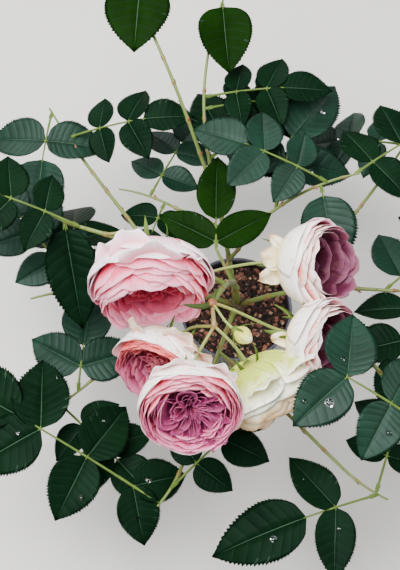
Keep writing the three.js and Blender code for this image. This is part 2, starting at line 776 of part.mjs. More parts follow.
BLOOMS.forEach((bloom) => {
  const pressed = firm.reduce((petals, limb) => petals.subtract(limb), bloomSolid(bloom, 0));
  addNode(bloom.name, mainPiece(pressed), bloom.colour, 0.6);
  firm.push(bloomSolid(bloom, GAP));
  occupy([new THREE.Vector3(...bloom.centre)], bloom.radius);
});
addNode(BUD.name, budSolid(BUD), BUD.colour, 0.6);
occupy([new THREE.Vector3(...BUD.centre)], BUD.radius);

// Leaves that are known, then those of the rule, then each mass as one solid.
shoots.forEach((shoot) => {
  shoot.leaves = shoot.limb.leaves.map((leaf) => ({ ...leaf, base: shoot.curve.getPoint(leaf.at) }));
  shoot.leaves.forEach((leaf) => occupy(leafSamples(leaf), 0));
});
shoots.forEach((shoot) => {
  shoot.leaves.push(...ruledLeaves(shoot.limb, shoot.curve, shoot.seed));
  addNode(shoot.name, massSolid(shoot.stem, shoot.leaves), LEAF_COLOUR, 0.5);
});

export default bush;
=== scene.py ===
"""A potted rose bush: canes, compound leaves, cupped blooms and a bud, dressed for rendering."""

import functools
import json
import math
import re

import bmesh
import bpy
import numpy as np
from bpy.props import FloatProperty, FloatVectorProperty, IntProperty, PointerProperty
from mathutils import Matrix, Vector, noise

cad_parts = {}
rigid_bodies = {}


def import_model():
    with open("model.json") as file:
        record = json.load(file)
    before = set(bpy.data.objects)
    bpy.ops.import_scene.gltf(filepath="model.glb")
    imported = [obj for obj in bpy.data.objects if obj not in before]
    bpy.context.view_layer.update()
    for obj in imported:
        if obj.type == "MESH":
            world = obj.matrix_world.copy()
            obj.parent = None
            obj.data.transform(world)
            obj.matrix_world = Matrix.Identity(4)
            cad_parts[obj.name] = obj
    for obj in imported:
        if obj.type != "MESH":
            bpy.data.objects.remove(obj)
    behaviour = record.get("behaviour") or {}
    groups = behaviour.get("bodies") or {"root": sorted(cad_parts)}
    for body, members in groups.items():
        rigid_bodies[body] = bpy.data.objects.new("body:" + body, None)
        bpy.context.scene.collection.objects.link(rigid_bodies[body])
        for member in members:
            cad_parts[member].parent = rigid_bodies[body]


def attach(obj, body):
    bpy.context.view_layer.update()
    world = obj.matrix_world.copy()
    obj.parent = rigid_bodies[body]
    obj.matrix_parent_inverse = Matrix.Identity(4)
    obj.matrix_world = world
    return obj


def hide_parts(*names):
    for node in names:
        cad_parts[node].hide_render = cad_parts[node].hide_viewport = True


bl_info = {
    "name": "Potted rose bush",
    "version": (1, 0, 0),
    "blender": (4, 5, 0),
    "location": "View3D > Sidebar > Rose bush",
    "description": "Grows a potted rose bush with cupped blooms from a few named sizes",
    "category": "Add Mesh",
}

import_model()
MM = 0.001
FULL_TURN = 2 * math.pi
SQUARE = ((-1, -1), (1, -1), (1, 1), (-1, 1))


# Sizes of the plant, in millimetres, as the solids have them

GAP = 0.3
POT_HEIGHT = 92
POT_RIM_RADIUS = 52.5
POT_BASE_RADIUS = 36
POT_WALL = 1.2
POT_FLOOR = 1.6
RIM_OVERHANG = 1.8
RIM_HEIGHT = 3.4
DRAIN_HOLES = 5
DRAIN_RADIUS = 4
DRAIN_RING_RADIUS = 22
SOIL_TOP = 84
BASE_HEIGHT = 22
BASE_RADIUS = 6.2
BASE_FLARE = 2.6
LOWEST_CANE = 0.4
LEAFLET_ASPECT = 0.74
LEAFLET_FOLD = 0.2
LEAFLET_CURL = 0.1
PAIR_SPACING = 0.6
END_SPACING = 0.3
PAIR_ANGLE = 68
PAIR_SWEEP = 14
PAIR_DROOP = 0.1
PAIR_SHRINK = 0.87
LEAF_CLEARANCE = 8
LEAF_LOWEST = 100
CROWN_RADIUS = 250
GOLDEN_ANGLE = 137.5
LEAF_SEED = 40
TRIES_PER_LEAF = 12
ALONG_RANGE = (0.12, 0.88)
ALONG_STRIDE = 0.618
TURN_RANGE = (0, 30)
PITCH_RANGE = (-26, 54)
PETIOLE_RANGE = (20, 14)
LEAFLET_RANGE = (46, 14)
RULED_PAIRS = 2
RULED_DROOP = 16
START_HANDLE = 0.4
TIP_HANDLE = 0.35
SHOOT_TAPER = 0.6
LIMB_SAMPLES = 24
SHOOT_SAMPLES = 12
STALK_RADIUS = 1.3
STALK_ARCH = 0.12
ARCH_PLACE = 0.3
SHOOT_DROP = 4
LOWER_NODE = (-23, -84, 255)
# The bracts at the cluster's node: how far each reaches, and its half width.
BRACTS = (((-23, -8, 17), 2.3), ((5, 9, 8), 1.4))

# Each limb starts on its parent and ends at a tip given by azimuth, reach and height. The shoot
# that grows on from it carries its known leaves and "fill" others that the rule deals out.
LIMBS = [
    dict(name="flower_cane", parent="stem_base", at=1, azimuth=250, reach=72, height=262,
         lift=86, fall=42, radius=2.7, tip=2),
    dict(name="side_branch", parent="flower_cane", at=0.7, azimuth=176, reach=128, height=238,
         lift=30, fall=-8, radius=2.1, tip=1.7, shoot=34, turn=-14, fill=1, leaves=[
             dict(at=0.6, azimuth=280, pitch=0, petiole=6, leaflet=86, pairs=0, droop=20, aspect=0.5,
                  tone="deep")]),
    dict(name="cane_left", parent="stem_base", at=0.2, azimuth=186, reach=120, height=168,
         lift=52, fall=6, radius=2.4, tip=1.6, shoot=62, turn=12, fill=5, leaves=[]),
    dict(name="bough_front_left", parent="cane_left", at=0.42, azimuth=214, reach=140, height=142,
         lift=30, fall=6, radius=1.9, tip=1.5, shoot=62, turn=-8, fill=4, leaves=[
             dict(at=0.5, azimuth=84, pitch=26, petiole=22, leaflet=60, pairs=1, droop=20)]),
    dict(name="bough_back_left", parent="cane_left", at=0.5, azimuth=140, reach=184, height=160,
         lift=26, fall=4, radius=1.9, tip=1.5, shoot=66, turn=-6, fill=4, leaves=[
             dict(at=0.92, azimuth=264, pitch=12, petiole=34, leaflet=66, pairs=1, droop=18, splay=94,
                  tone="blue")]),
    dict(name="cane_back", parent="stem_base", at=0.2, azimuth=103, reach=108, height=172,
         lift=56, fall=24, radius=2.4, tip=1.7, shoot=160, turn=-35, fill=4, leaves=[
             dict(at=0.04, azimuth=46, pitch=4, petiole=24, leaflet=84, pairs=1, droop=8, aspect=0.6,
                  tone="deep"),
             dict(at=0.98, azimuth=274, pitch=20, petiole=6, leaflet=66, pairs=0, droop=20, tone="young")]),
    dict(name="bough_back_centre", parent="cane_back", at=0.55, azimuth=128, reach=100, height=148,
         lift=20, fall=6, radius=1.7, tip=1.3, shoot=50, turn=20, fill=3, leaves=[
             dict(at=0.1, azimuth=250, pitch=10, petiole=18, leaflet=42, pairs=1, droop=14, splay=84)]),
    dict(name="bough_back_high", parent="cane_back", at=0.7, azimuth=111, reach=206, height=246,
         lift=40, fall=16, radius=1.8, tip=1.4, shoot=60, turn=-24, fill=3, leaves=[
             dict(at=0.94, azimuth=266, pitch=20, petiole=6, leaflet=62, pairs=0, droop=20,
                  aspect=0.94, tone="young")]),
    dict(name="bough_back_right", parent="cane_back", at=0.34, azimuth=62, reach=56, height=186,
         lift=50, fall=30, radius=1.9, tip=1.5, shoot=90, turn=-30, fill=4, leaves=[
             dict(at=0.08, azimuth=77, pitch=14, petiole=46, leaflet=76, pairs=1, droop=8,
                  splay=88, end_turn=22, aspect=0.64, shrink=0.8, tone="blue"),
             dict(at=0.6, azimuth=280, pitch=-4, petiole=10, leaflet=66, pairs=0, droop=10)]),
    dict(name="cane_right", parent="stem_base", at=0.2, azimuth=-8, reach=120, height=172,
         lift=54, fall=8, radius=2.4, tip=1.6, shoot=66, turn=10, fill=5, leaves=[
             dict(at=0.1, azimuth=40, pitch=6, petiole=20, leaflet=58, pairs=1, droop=16)]),
    dict(name="bough_front_right", parent="cane_right", at=0.45, azimuth=-52, reach=188, height=266,
         lift=40, fall=18, radius=1.9, tip=1.5, shoot=40, turn=6, fill=4, leaves=[
             dict(at=0.5, azimuth=150, pitch=20, petiole=24, leaflet=62, pairs=2, droop=16,
                  splay=70, sweep=23, bare=True, tone="blue")]),
    dict(name="bough_right_back", parent="cane_right", at=0.5, azimuth=34, reach=150, height=174,
         lift=30, fall=8, radius=1.8, tip=1.4, shoot=60, turn=8, fill=4, leaves=[]),
    dict(name="cane_front", parent="stem_base", at=0.2, azimuth=254, reach=168, height=158,
         lift=44, fall=8, radius=2.3, tip=1.6, shoot=48, turn=-24, fill=3, leaves=[
             dict(at=0.94, azimuth=150, pitch=20, petiole=26, leaflet=74, pairs=3, droop=20,
                  splay=58, sweep=38, tone="deep")]),
    dict(name="bough_front_side", parent="cane_front", at=0.4, azimuth=-64, reach=190, height=158,
         lift=24, fall=6, radius=1.8, tip=1.4, shoot=44, turn=20, fill=4, leaves=[
             dict(at=0.8, azimuth=198, pitch=14, petiole=38, leaflet=84, pairs=1, droop=20,
                  aspect=0.58, shrink=0.68, tone="deep")]),
    dict(name="leafy_centre", parent="flower_cane", at=0.46, azimuth=160, reach=22, height=204,
         lift=34, fall=20, radius=1.7, tip=1.2, fill=2, leaves=[
             dict(at=0.98, azimuth=90, pitch=16, petiole=6, leaflet=66, pairs=1, droop=10,
                  splay=60, aspect=0.52, tone="young")]),
]


def even_quarters(count, far):
    """The folds of a heart in even quarters: azimuth, half width, reach and number of folds."""
    return [(360 * i / count + 10 * math.sin(7 * i), 1.35 / count, far, 4) for i in range(count)]


# Blooms: middle, facing, radius and depth, as the solids have them. "first" is the height of the
# guard petals' lips and "floor" that of the heart, as shares of the depth; "eye" is how far the
# middle sinks and "swirl" how far the folds turn about it. "rows" counts the rows up to the mouth,
# "inner" those that step down inside it, of which "pale" keep the colours of the rows. "mouth" is
# the azimuth at which the lips stand lowest and by how much, "off" the azimuth and the share of the
# radius by which the heart sits off the axis. "swell" is small for a cup that widens at once, and
# "fan" is large for lips that roll out; "girth" is the share of the radius that the outer rows
# reach; "pleats" counts the petals of an inner row. "sepal" is the sepals' half width, first azimuth
# and length. Loose petals: azimuth about the axis, height and radius of the foot, lean from the
# axis, then length, width and bend as shares of the radius.
USUAL_BLOOM = dict(eye=0.1, swirl=0.2, inner=3, pale=1, fan=1, girth=1, pleats=9, off=(0, 0),
                   sepal=(1.9, 23, 1), quarters=even_quarters(5, 0.5))
BLOOMS = [USUAL_BLOOM | bloom for bloom in (
    dict(name="bloom_1", parent="side_branch", at=0.86, centre=(-73, -43, 258), facing=(0.1, -0.99, 0.04),
         radius=48, depth=1.24, hue="blush", slot="blush_petals",
         first=0.6, floor=0.64, rows=7, inner=5, pale=3, mouth=(270, 0.06), off=(270, 0.22), swell=0.9,
         fan=0.5,
         loose=[(112, 0.42, 0.8, 100, 0.4, 0.36, 0.12), (94, 0.55, 0.95, 66, 0.34, 0.5, 0.12),
                (50, 0.55, 0.95, 50, 0.22, 0.16, 0.04), (142, 0.34, 0.76, 92, 0.26, 0.34, 0.1)]),
    dict(name="bloom_2", parent="side_branch", at=0.14, centre=(56, -28, 250), facing=(0.82, -0.27, 0.49),
         radius=34, depth=1.56, hue="mauve", slot="mauve_petals",
         first=0.74, floor=0.42, rows=6, inner=2, pale=2, pleats=6, mouth=(180, 0.17), swell=0.6,
         sepal=(1.9, 60, 1.5),
         loose=[(140, 0.1, 0.3, 112, 0.6, 0.17, 0.12), (182, 0.06, 0.25, 128, 0.6, 0.3, -0.12),
                (228, 0.06, 0.3, 120, 0.6, 0.26, 0.14)]),
    dict(name="bloom_3", parent="flower_cane", at=1, centre=(61, -90, 238), facing=(0.85, -0.38, 0.36),
         radius=33, depth=1.56, hue="mauve", slot="mauve_petals",
         first=0.74, floor=0.42, rows=6, inner=2, pale=2, pleats=6, mouth=(160, 0.3), swell=0.62,
         sepal=(3.6, 44, 1.6),
         loose=[(204, 0.06, 0.25, 136, 0.5, 0.2, 0)]),
    dict(name="bloom_4", parent="lower_stalk", at=1, centre=(-62, -100, 217), facing=(-0.45, -0.86, 0.11),
         radius=41, depth=1.16, hue="coral", slot="blush_petals",
         first=0.9, floor=0.7, eye=0.12, swirl=0.3, rows=8, inner=6, pale=6, pleats=14, mouth=(62, 0.32),
         off=(225, 0.12), swell=0.66, fan=0.3, girth=0.94, quarters=even_quarters(8, 0.42),
         loose=[(98, 0.48, 0.92, 84, 0.4, 0.17, 0.05), (50, 0.3, 0.85, 66, 0.5, 0.36, 0.14),
                (20, 0.3, 0.85, 60, 0.45, 0.4, 0.1)]),
    dict(name="bloom_5", parent="lower_stalk", at=1, centre=(-42, -145, 260), facing=(0.05, -0.86, 0.5),
         radius=41, depth=1, hue="quartered", slot="mauve_petals",
         first=0.92, floor=0.9, eye=0.16, swirl=0.35, rows=8, inner=3, pale=3, mouth=(90, 0.04), swell=0.62,
         fan=0.2, girth=0.93,
         quarters=[(172, 0.56, 0.66, 5), (232, 0.24, 0.86, 4), (262, 0.17, 0.92, 5), (288, 0.17, 0.95, 5),
                   (314, 0.17, 0.92, 5), (342, 0.18, 0.84, 4), (14, 0.2, 0.74, 4), (52, 0.26, 0.64, 4),
                   (96, 0.3, 0.58, 4)],
         loose=[(56, 0.5, 0.9, 30, 0.36, 0.36, 0.1), (112, 0.5, 0.9, 30, 0.32, 0.44, 0.1)]),
    dict(name="bloom_6", parent="lower_stalk", at=1, centre=(13, -124, 229), facing=(0.5, -0.7, -0.53),
         radius=36, depth=1.3, hue="cream", slot="cream_petals",
         first=0.62, floor=0.6, rows=6, pale=3, mouth=(270, 0.05), swell=0.62, fan=2.6,
         quarters=even_quarters(4, 0.5),
         loose=[(135, 0.2, 0.6, 72, 0.7, 0.42, 0.2), (75, 0.2, 0.7, 66, 0.8, 0.5, 0.16),
                (30, 0.3, 0.8, 60, 0.6, 0.4, 0.1)]),
)]
BUD = dict(name="bud", parent="flower_cane", at=1, centre=(-2, -96, 267),
           facing=(0.7, -0.58, 0.07), radius=7, depth=2.7)


# Leaves with rain drops on them, and the one large drop. Then a drop's height, as a share of its
# radius, and how far its edge is lifted off the leaf.
WET_SHOOTS = ("leafy_front", "leafy_front_right", "leafy_back_right", "leafy_front_side")
BIG_DROP = dict(shoot="leafy_front_right", leaflet=1, along=0.42, across=0.3, radius=3.6)
DROP_HEIGHT = 0.6
DROP_LIFT = 0.2
DROP_SEED = 77


# Small helpers

def linear(code):
    """An sRGB hex colour as linear red, green, blue and alpha."""
    shares = [int(code[i:i + 2], 16) / 255 for i in (1, 3, 5)]
    return (*[s / 12.92 if s <= 0.04045 else ((s + 0.055) / 1.055) ** 2.4 for s in shares], 1.0)


def add_node(tree, kind, inputs=None, **settings):
    """Adds a node with its settings. An input is a value, or another node's output to link."""
    node = tree.nodes.new(kind)
    for key, value in settings.items():
        setattr(node, key, value)
    for key, value in (inputs or {}).items():
        if isinstance(value, bpy.types.NodeSocket):
            tree.links.new(value, node.inputs[key])
        else:
            node.inputs[key].default_value = value
    return node


def stream(seed):
    """Seeded numbers from 0 to 1, the same ones that deal out the leaves of the solids."""
    state = seed & 0xFFFFFFFF
    while True:
        state = (state * 1664525 + 1013904223) & 0xFFFFFFFF
        yield state / 4294967296


def unit(vector):
    """The vector with a length of 1."""
    vector = np.asarray(vector, float)
    return vector / np.linalg.norm(vector)


def heading(azimuth, pitch):
    """Unit vector with an azimuth from +X towards +Y and a pitch above level, in degrees."""
    a, p = math.radians(azimuth), math.radians(pitch)
    return np.array((math.cos(a) * math.cos(p), math.sin(a) * math.cos(p), math.sin(p)))


def azimuth_of(vector):
    """The azimuth of a vector, in degrees."""
    return math.degrees(math.atan2(vector[1], vector[0]))


def add_object(name, data):
    """Adds an object to the scene."""
    thing = bpy.data.objects.new(name, data)
    bpy.context.scene.collection.objects.link(thing)
    return thing


def mesh_of(name, draft):
    """A plain mesh made from a finished draft, which is freed."""
    mesh = bpy.data.meshes.new(name)
    draft.to_mesh(mesh)
    draft.free()
    return mesh


class Line:
    """The centre line of a limb, stalk or leaf: a smooth curve drawn by its control points."""

    def __init__(self, *points):
        self.controls = [np.array(p, float) for p in points]

    def at(self, share):
        points = self.controls
        while len(points) > 1:
            points = [a + (b - a) * share for a, b in zip(points, points[1:])]
        return points[0]

    def along(self, share):
        return unit(self.at(min(share + 1e-4, 1)) - self.at(max(share - 1e-4, 0)))

    def points(self, steps):
        return np.array([self.at(i / steps) for i in range(steps + 1)])

    def length(self):
        return np.linalg.norm(np.diff(self.points(20), axis=0), axis=1).sum()


class Shape:
    """Points, faces, material slots and values of a piece that is being put together."""

    def __init__(self):
        self.points, self.faces, self.slots, self.values, self.count = [], [], [], {}, 0

    def add(self, points, faces, slots=0, **values):
        points = np.asarray(points, float)
        self.points.append(points)
        self.faces += [[i + self.count for i in face] for face in faces]
        self.slots += [slots] * len(faces) if isinstance(slots, int) else list(slots)
        for key, value in values.items():
            full = np.broadcast_to(np.asarray(value, float), (len(points),))
            self.values.setdefault(key, []).append((self.count, full))
        self.count += len(points)

    def finish(self, name, materials, smooth=True):
        """Makes the object, in metres, with its place in its mesh."""
        mesh = bpy.data.meshes.new(name)
        mesh.from_pydata(np.concatenate(self.points) * MM, [], self.faces)
        for material in materials:
            mesh.materials.append(material)
        mesh.polygons.foreach_set("material_index", self.slots)
        mesh.polygons.foreach_set("use_smooth", [smooth] * len(self.faces))
        for key, parts in self.values.items():
            values = np.zeros(self.count, np.float32)
            for first, part in parts:
                values[first:first + len(part)] = part
            mesh.attributes.new(key, "FLOAT", "POINT").data.foreach_set("value", values)
        mesh.update()
        return add_object(name, mesh)


def seat(piece, slot, *nodes):
    """Lets a finished piece ride on the plant and stand for its solids."""
    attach(piece, "root")
    if nodes:
        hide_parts(*nodes)


# The plan of the plant: the same limbs and leaves as the solids

def sweep(start, tip, lift, fall):
    """A curve that leaves "start" at one pitch and reaches "tip" at another."""
    across, reach = azimuth_of(tip - start), np.linalg.norm(tip - start)
    return Line(start, start + heading(across, lift) * reach * START_HANDLE,
                tip - heading(across, fall) * reach * TIP_HANDLE, tip)


def leaflets_of(leaf):
    """The rachis of a compound leaf and its leaflets: root, direction, normal and sizes."""
    pairs, size = leaf["pairs"], leaf["leaflet"]
    spacing = size * PAIR_SPACING
    bare = leaf.get("bare", False)
    end_gap = size * END_SPACING if pairs and not bare else 0
    length = leaf["petiole"] + max(pairs - 1, 0) * spacing + end_gap
    middle = leaf["base"] + heading(leaf["azimuth"], leaf["pitch"]) * length / 2
    end = middle + heading(leaf["azimuth"], leaf["pitch"] - leaf["droop"]) * length / 2
    rachis = Line(leaf["base"], middle, end)
    leaflets = []

    def place(share, turn, long):
        along = rachis.along(share)
        side = unit(np.cross(along, (0, 0, 1)))
        up = np.cross(side, along)
        angle = math.radians(turn)
        direction = unit(along * math.cos(angle) + side * math.sin(angle) - up * PAIR_DROOP)
        normal = unit(up - direction * (up @ direction))
        half = long * leaf.get("aspect", LEAFLET_ASPECT) / 2
        leaflets.append(dict(root=rachis.at(share), direction=direction, normal=normal,
                             side=np.cross(normal, direction), length=long, half=half))

    for pair in range(pairs):
        share = (leaf["petiole"] + (pairs - 1 - pair) * spacing) / length
        long = size * leaf.get("shrink", PAIR_SHRINK) ** (pair + 1)
        turn = leaf.get("splay", PAIR_ANGLE) + pair * leaf.get("sweep", PAIR_SWEEP)
        place(share, turn, long)
        place(share, -turn, long)
    if not bare:
        place(1, leaf.get("end_turn", 0), size)
    return rachis, leaflets


def blade_point(leaflet, along, across):
    """A point on a leaflet's plain folded blade, as the solids have it."""
    lift = (LEAFLET_FOLD * abs(across) * leaflet["half"]
            - LEAFLET_CURL * leaflet["length"] * along * along)
    return (leaflet["root"] + leaflet["direction"] * along * leaflet["length"]
            + leaflet["side"] * across * leaflet["half"] + leaflet["normal"] * lift)


# Where a leaf is tested for room: places along and across each leaflet, and along its stalk.
BLADE_SAMPLES = ((0.2, 0), (0.45, 0), (0.7, 0), (0.98, 0),
                 (0.3, 0.8), (0.6, 0.8), (0.3, -0.8), (0.6, -0.8))
RACHIS_SAMPLES = (0.4, 0.7, 1)


def leaf_samples(leaf):
    """The points at which a leaf is tested for room."""
    rachis, leaflets = leaflets_of(leaf)
    blades = [blade_point(leaflet, *sample) for leaflet in leaflets for sample in BLADE_SAMPLES]
    return np.array(blades + [rachis.at(share) for share in RACHIS_SAMPLES])


def draw(numbers, span):
    """The next seeded number in a range, which is given by its start and its width."""
    return span[0] + span[1] * next(numbers)


@functools.lru_cache(maxsize=None)
def plan():
    """Every limb, stalk and leaf of the plant, dealt out by the rule of the solids."""
    top = SOIL_TOP + BASE_HEIGHT
    lines = {"stem_base": Line((0, 0, SOIL_TOP + BASE_HEIGHT * LOWEST_CANE), (0, 0, top))}
    taken, sizes, shoots = [], [], []

    def occupy(points, radius):
        taken.extend(points)
        sizes.extend([radius] * len(points))

    for index, limb in enumerate(LIMBS):
        start = lines[limb["parent"]].at(limb["at"])
        tip = heading(limb["azimuth"], 0) * limb["reach"]
        tip[2] = limb["height"]
        line = sweep(start, tip, limb["lift"], limb["fall"])
        lines[limb["name"]] = line
        if limb["name"] == "leafy_centre":
            shoots.append(dict(limb=limb, name=limb["name"], line=line, seed=LEAF_SEED + index,
                               radii=(limb["radius"], limb["tip"])))
            continue
        occupy(line.points(LIMB_SAMPLES), limb["radius"])
        if "shoot" in limb:
            along = line.along(1)
            first = line.at(1) + along * GAP
            middle = first + along * limb["shoot"] / 2
            away = heading(azimuth_of(along) + limb["turn"], limb["fall"] - SHOOT_DROP)
            grown = Line(first, middle, middle + away * limb["shoot"] / 2)
            name = re.sub("cane|bough|side", "leafy", limb["name"], count=1)
            shoots.append(dict(limb=limb, name=name, line=grown, seed=LEAF_SEED + index,
                               radii=(limb["tip"], limb["tip"] * SHOOT_TAPER)))
            occupy(grown.points(SHOOT_SAMPLES), limb["tip"])
    lines["lower_stalk"] = Line(lines["flower_cane"].at(1), LOWER_NODE)
    stalks = {}
    for bloom in [*BLOOMS, BUD]:
        start, facing = lines[bloom["parent"]].at(bloom["at"]), unit(bloom["facing"])
        end = back_of(bloom) - facing * GAP
        reach = np.linalg.norm(end - start)
        arch = start + (end - start) * ARCH_PLACE + np.array((0, 0, reach * STALK_ARCH))
        stalks[bloom["name"]] = Line(start, arch, end - facing * reach * TIP_HANDLE, end)
        occupy(stalks[bloom["name"]].points(SHOOT_SAMPLES), STALK_RADIUS)
    for bloom in [*BLOOMS, BUD]:
        occupy([np.array(bloom["centre"], float)], bloom["radius"])
    for shoot in shoots:
        shoot["leaves"] = [dict(leaf, base=shoot["line"].at(leaf["at"])) for leaf in shoot["limb"]["leaves"]]
        for leaf in shoot["leaves"]:
            occupy(leaf_samples(leaf), 0)
    for shoot in shoots:
        numbers, line, wanted = stream(shoot["seed"]), shoot["line"], shoot["limb"]["fill"]
        kept = 0
        for i in range(wanted * TRIES_PER_LEAF):
            if kept >= wanted:
                break
            at = ALONG_RANGE[0] + ALONG_RANGE[1] * ((i * ALONG_STRIDE) % 1)
            turn = azimuth_of(line.along(at)) + GOLDEN_ANGLE * i
            leaf = dict(base=line.at(at), azimuth=turn + draw(numbers, TURN_RANGE),
                        pitch=draw(numbers, PITCH_RANGE), petiole=draw(numbers, PETIOLE_RANGE),
                        leaflet=draw(numbers, LEAFLET_RANGE), pairs=RULED_PAIRS, droop=RULED_DROOP)
            samples = leaf_samples(leaf)
            widest = np.hypot(samples[:, 0], samples[:, 1]).max()
            if samples[:, 2].min() <= LEAF_LOWEST or widest >= CROWN_RADIUS:
                continue
            spread = np.linalg.norm(samples[:, None] - np.array(taken)[None], axis=2)
            if (spread > np.array(sizes) + LEAF_CLEARANCE).all():
                occupy(samples, 0)
                shoot["leaves"].append(leaf)
                kept += 1
    return dict(lines=lines, shoots=shoots, stalks=stalks)


def back_of(bloom):
    """The point at which a bloom sits on its stalk."""
    return np.array(bloom["centre"], float) - unit(bloom["facing"]) * bloom["radius"] * bloom["depth"] / 2


def turn_of(bloom):
    """The rotation that takes the vertical to the bloom's axis."""
    axis = Vector(bloom["facing"]).normalized()
    return np.array(Vector((0, 0, 1)).rotation_difference(axis).to_matrix())


# Shapes that several pieces share

def ring_faces(rings, sides, first=0):
    """The quads between rings of points that follow each other."""
    faces = []
    for i in range(rings - 1):
        low, high = first + i * sides, first + (i + 1) * sides
        for j in range(sides):
            k = (j + 1) % sides
            faces.append([low + j, low + k, high + k, high + j])
    return faces


def tube(line, radii, sides, steps, domed=True, bumps=None, seed=0):
    """Points and faces of a round limb. "radii" is its first and last radius, or a function of the
    share along it, and "bumps" gives a share to swell by."""
    shares = np.linspace(0, 1, steps + 1)
    centres = np.array([line.at(s) for s in shares])
    tangents = np.array([line.along(s) for s in shares])
    across = unit(np.cross(tangents[0], (0.3, 0.2, 1) if abs(tangents[0][2]) < 0.9 else (1, 0, 0)))
    angles = np.arange(sides) * FULL_TURN / sides
    rings = []
    for share, centre, tangent in zip(shares, centres, tangents):
        across = unit(across - tangent * (across @ tangent))
        other = np.cross(tangent, across)
        radius = radii(share) if callable(radii) else radii[0] + (radii[1] - radii[0]) * share
        ring = np.full(sides, radius)
        if bumps:
            ring = ring * (1 + np.array([bumps(share, a, seed) for a in angles]))
        rings.append(centre + (np.cos(angles) * ring)[:, None] * across
                     + (np.sin(angles) * ring)[:, None] * other)
    last = radii(1) if callable(radii) else radii[1]
    ends = [centres[0] - tangents[0] * 0.1, centres[-1] + tangents[-1] * last * (0.6 if domed else 0.1)]
    faces = ring_faces(steps + 1, sides)
    top, count = steps * sides, (steps + 1) * sides
    faces += [[count, (j + 1) % sides, j] for j in range(sides)]
    faces += [[count + 1, top + j, top + (j + 1) % sides] for j in range(sides)]
    return np.vstack([*rings, *ends]), faces


# Rows of a leaflet's blade, as shares along its margin: a narrow band for each side vein, then
# the teeth between it and the next.
VEINS = 8
VEIN_FIRST = 0.05
VEIN_STEP = 0.112
VEIN_BAND = 0.006
BLADE_COLUMNS = (0.0, 0.014, 0.28, 0.58, 0.84, 1.0)
TEETH_PER_VEIN = 3
BLADE_SLOT, MIDRIB_SLOT, UNDER_SLOT, VEIN_SLOT = 0, 1, 2, 5
TONE_SLOTS = {"deep": 0, "blue": 3, "young": 4}

# Young leaflets are flatter and more finely toothed than grown ones.
YOUNG_RELIEF = 0.6


@functools.lru_cache(maxsize=None)
def blade_pattern():
    """Rows, teeth and puffs of the blade, and its faces with their slots."""
    rows, teeth, puffs = [], [], []
    for vein in range(VEINS):
        start = VEIN_FIRST + vein * VEIN_STEP
        steps = 2 * TEETH_PER_VEIN
        rest = (VEIN_STEP - VEIN_BAND) / steps
        rows += [start, start + VEIN_BAND] + [start + VEIN_BAND + rest * k for k in range(1, steps)]
        teeth += [0.9, 1] + [0.85 if k % 2 else -1 for k in range(steps - 1)]
        puffs += [0, 0] + [math.sin(math.pi * k / steps) ** 0.6 for k in range(1, steps)]
    count, cols = len(rows), len(BLADE_COLUMNS) - 1
    wide = 2 * cols + 1
    tip_top = count * wide + 1
    faces, slots = [], []

    def top(j, k):
        return 1 + j * wide + cols + k

    def under(j, k):
        return top(j, k * cols // 2) if abs(k) == 2 else tip_top + 1 + j * 3 + 1 + k

    for j in range(count - 1):
        band = VEIN_SLOT if j % (2 * TEETH_PER_VEIN + 1) == 0 else BLADE_SLOT
        for k in range(-cols, cols):
            faces.append([top(j, k), top(j + 1, k), top(j + 1, k + 1), top(j, k + 1)])
            slots.append(MIDRIB_SLOT if k in (-1, 0) else band)
        for k in range(-2, 2):
            faces.append([under(j, k), under(j, k + 1), under(j + 1, k + 1), under(j + 1, k)])
            slots.append(UNDER_SLOT)
    for k in range(-cols, cols):
        faces += [[0, top(0, k), top(0, k + 1)], [tip_top, top(count - 1, k + 1), top(count - 1, k)]]
        slots += [BLADE_SLOT] * 2
    for k in range(-2, 2):
        faces += [[0, under(0, k + 1), under(0, k)],
                  [tip_top, under(count - 1, k), under(count - 1, k + 1)]]
        slots += [UNDER_SLOT] * 2
    return np.array(rows), np.array(teeth), np.array(puffs), faces, slots


def outline(share):
    """Half width of a leaflet at a share of its length: ovate, with a short drawn-out tip."""
    return share ** 0.55 * (1 - share) ** 0.85 * (1 - 0.42 * share ** 9) / 0.391


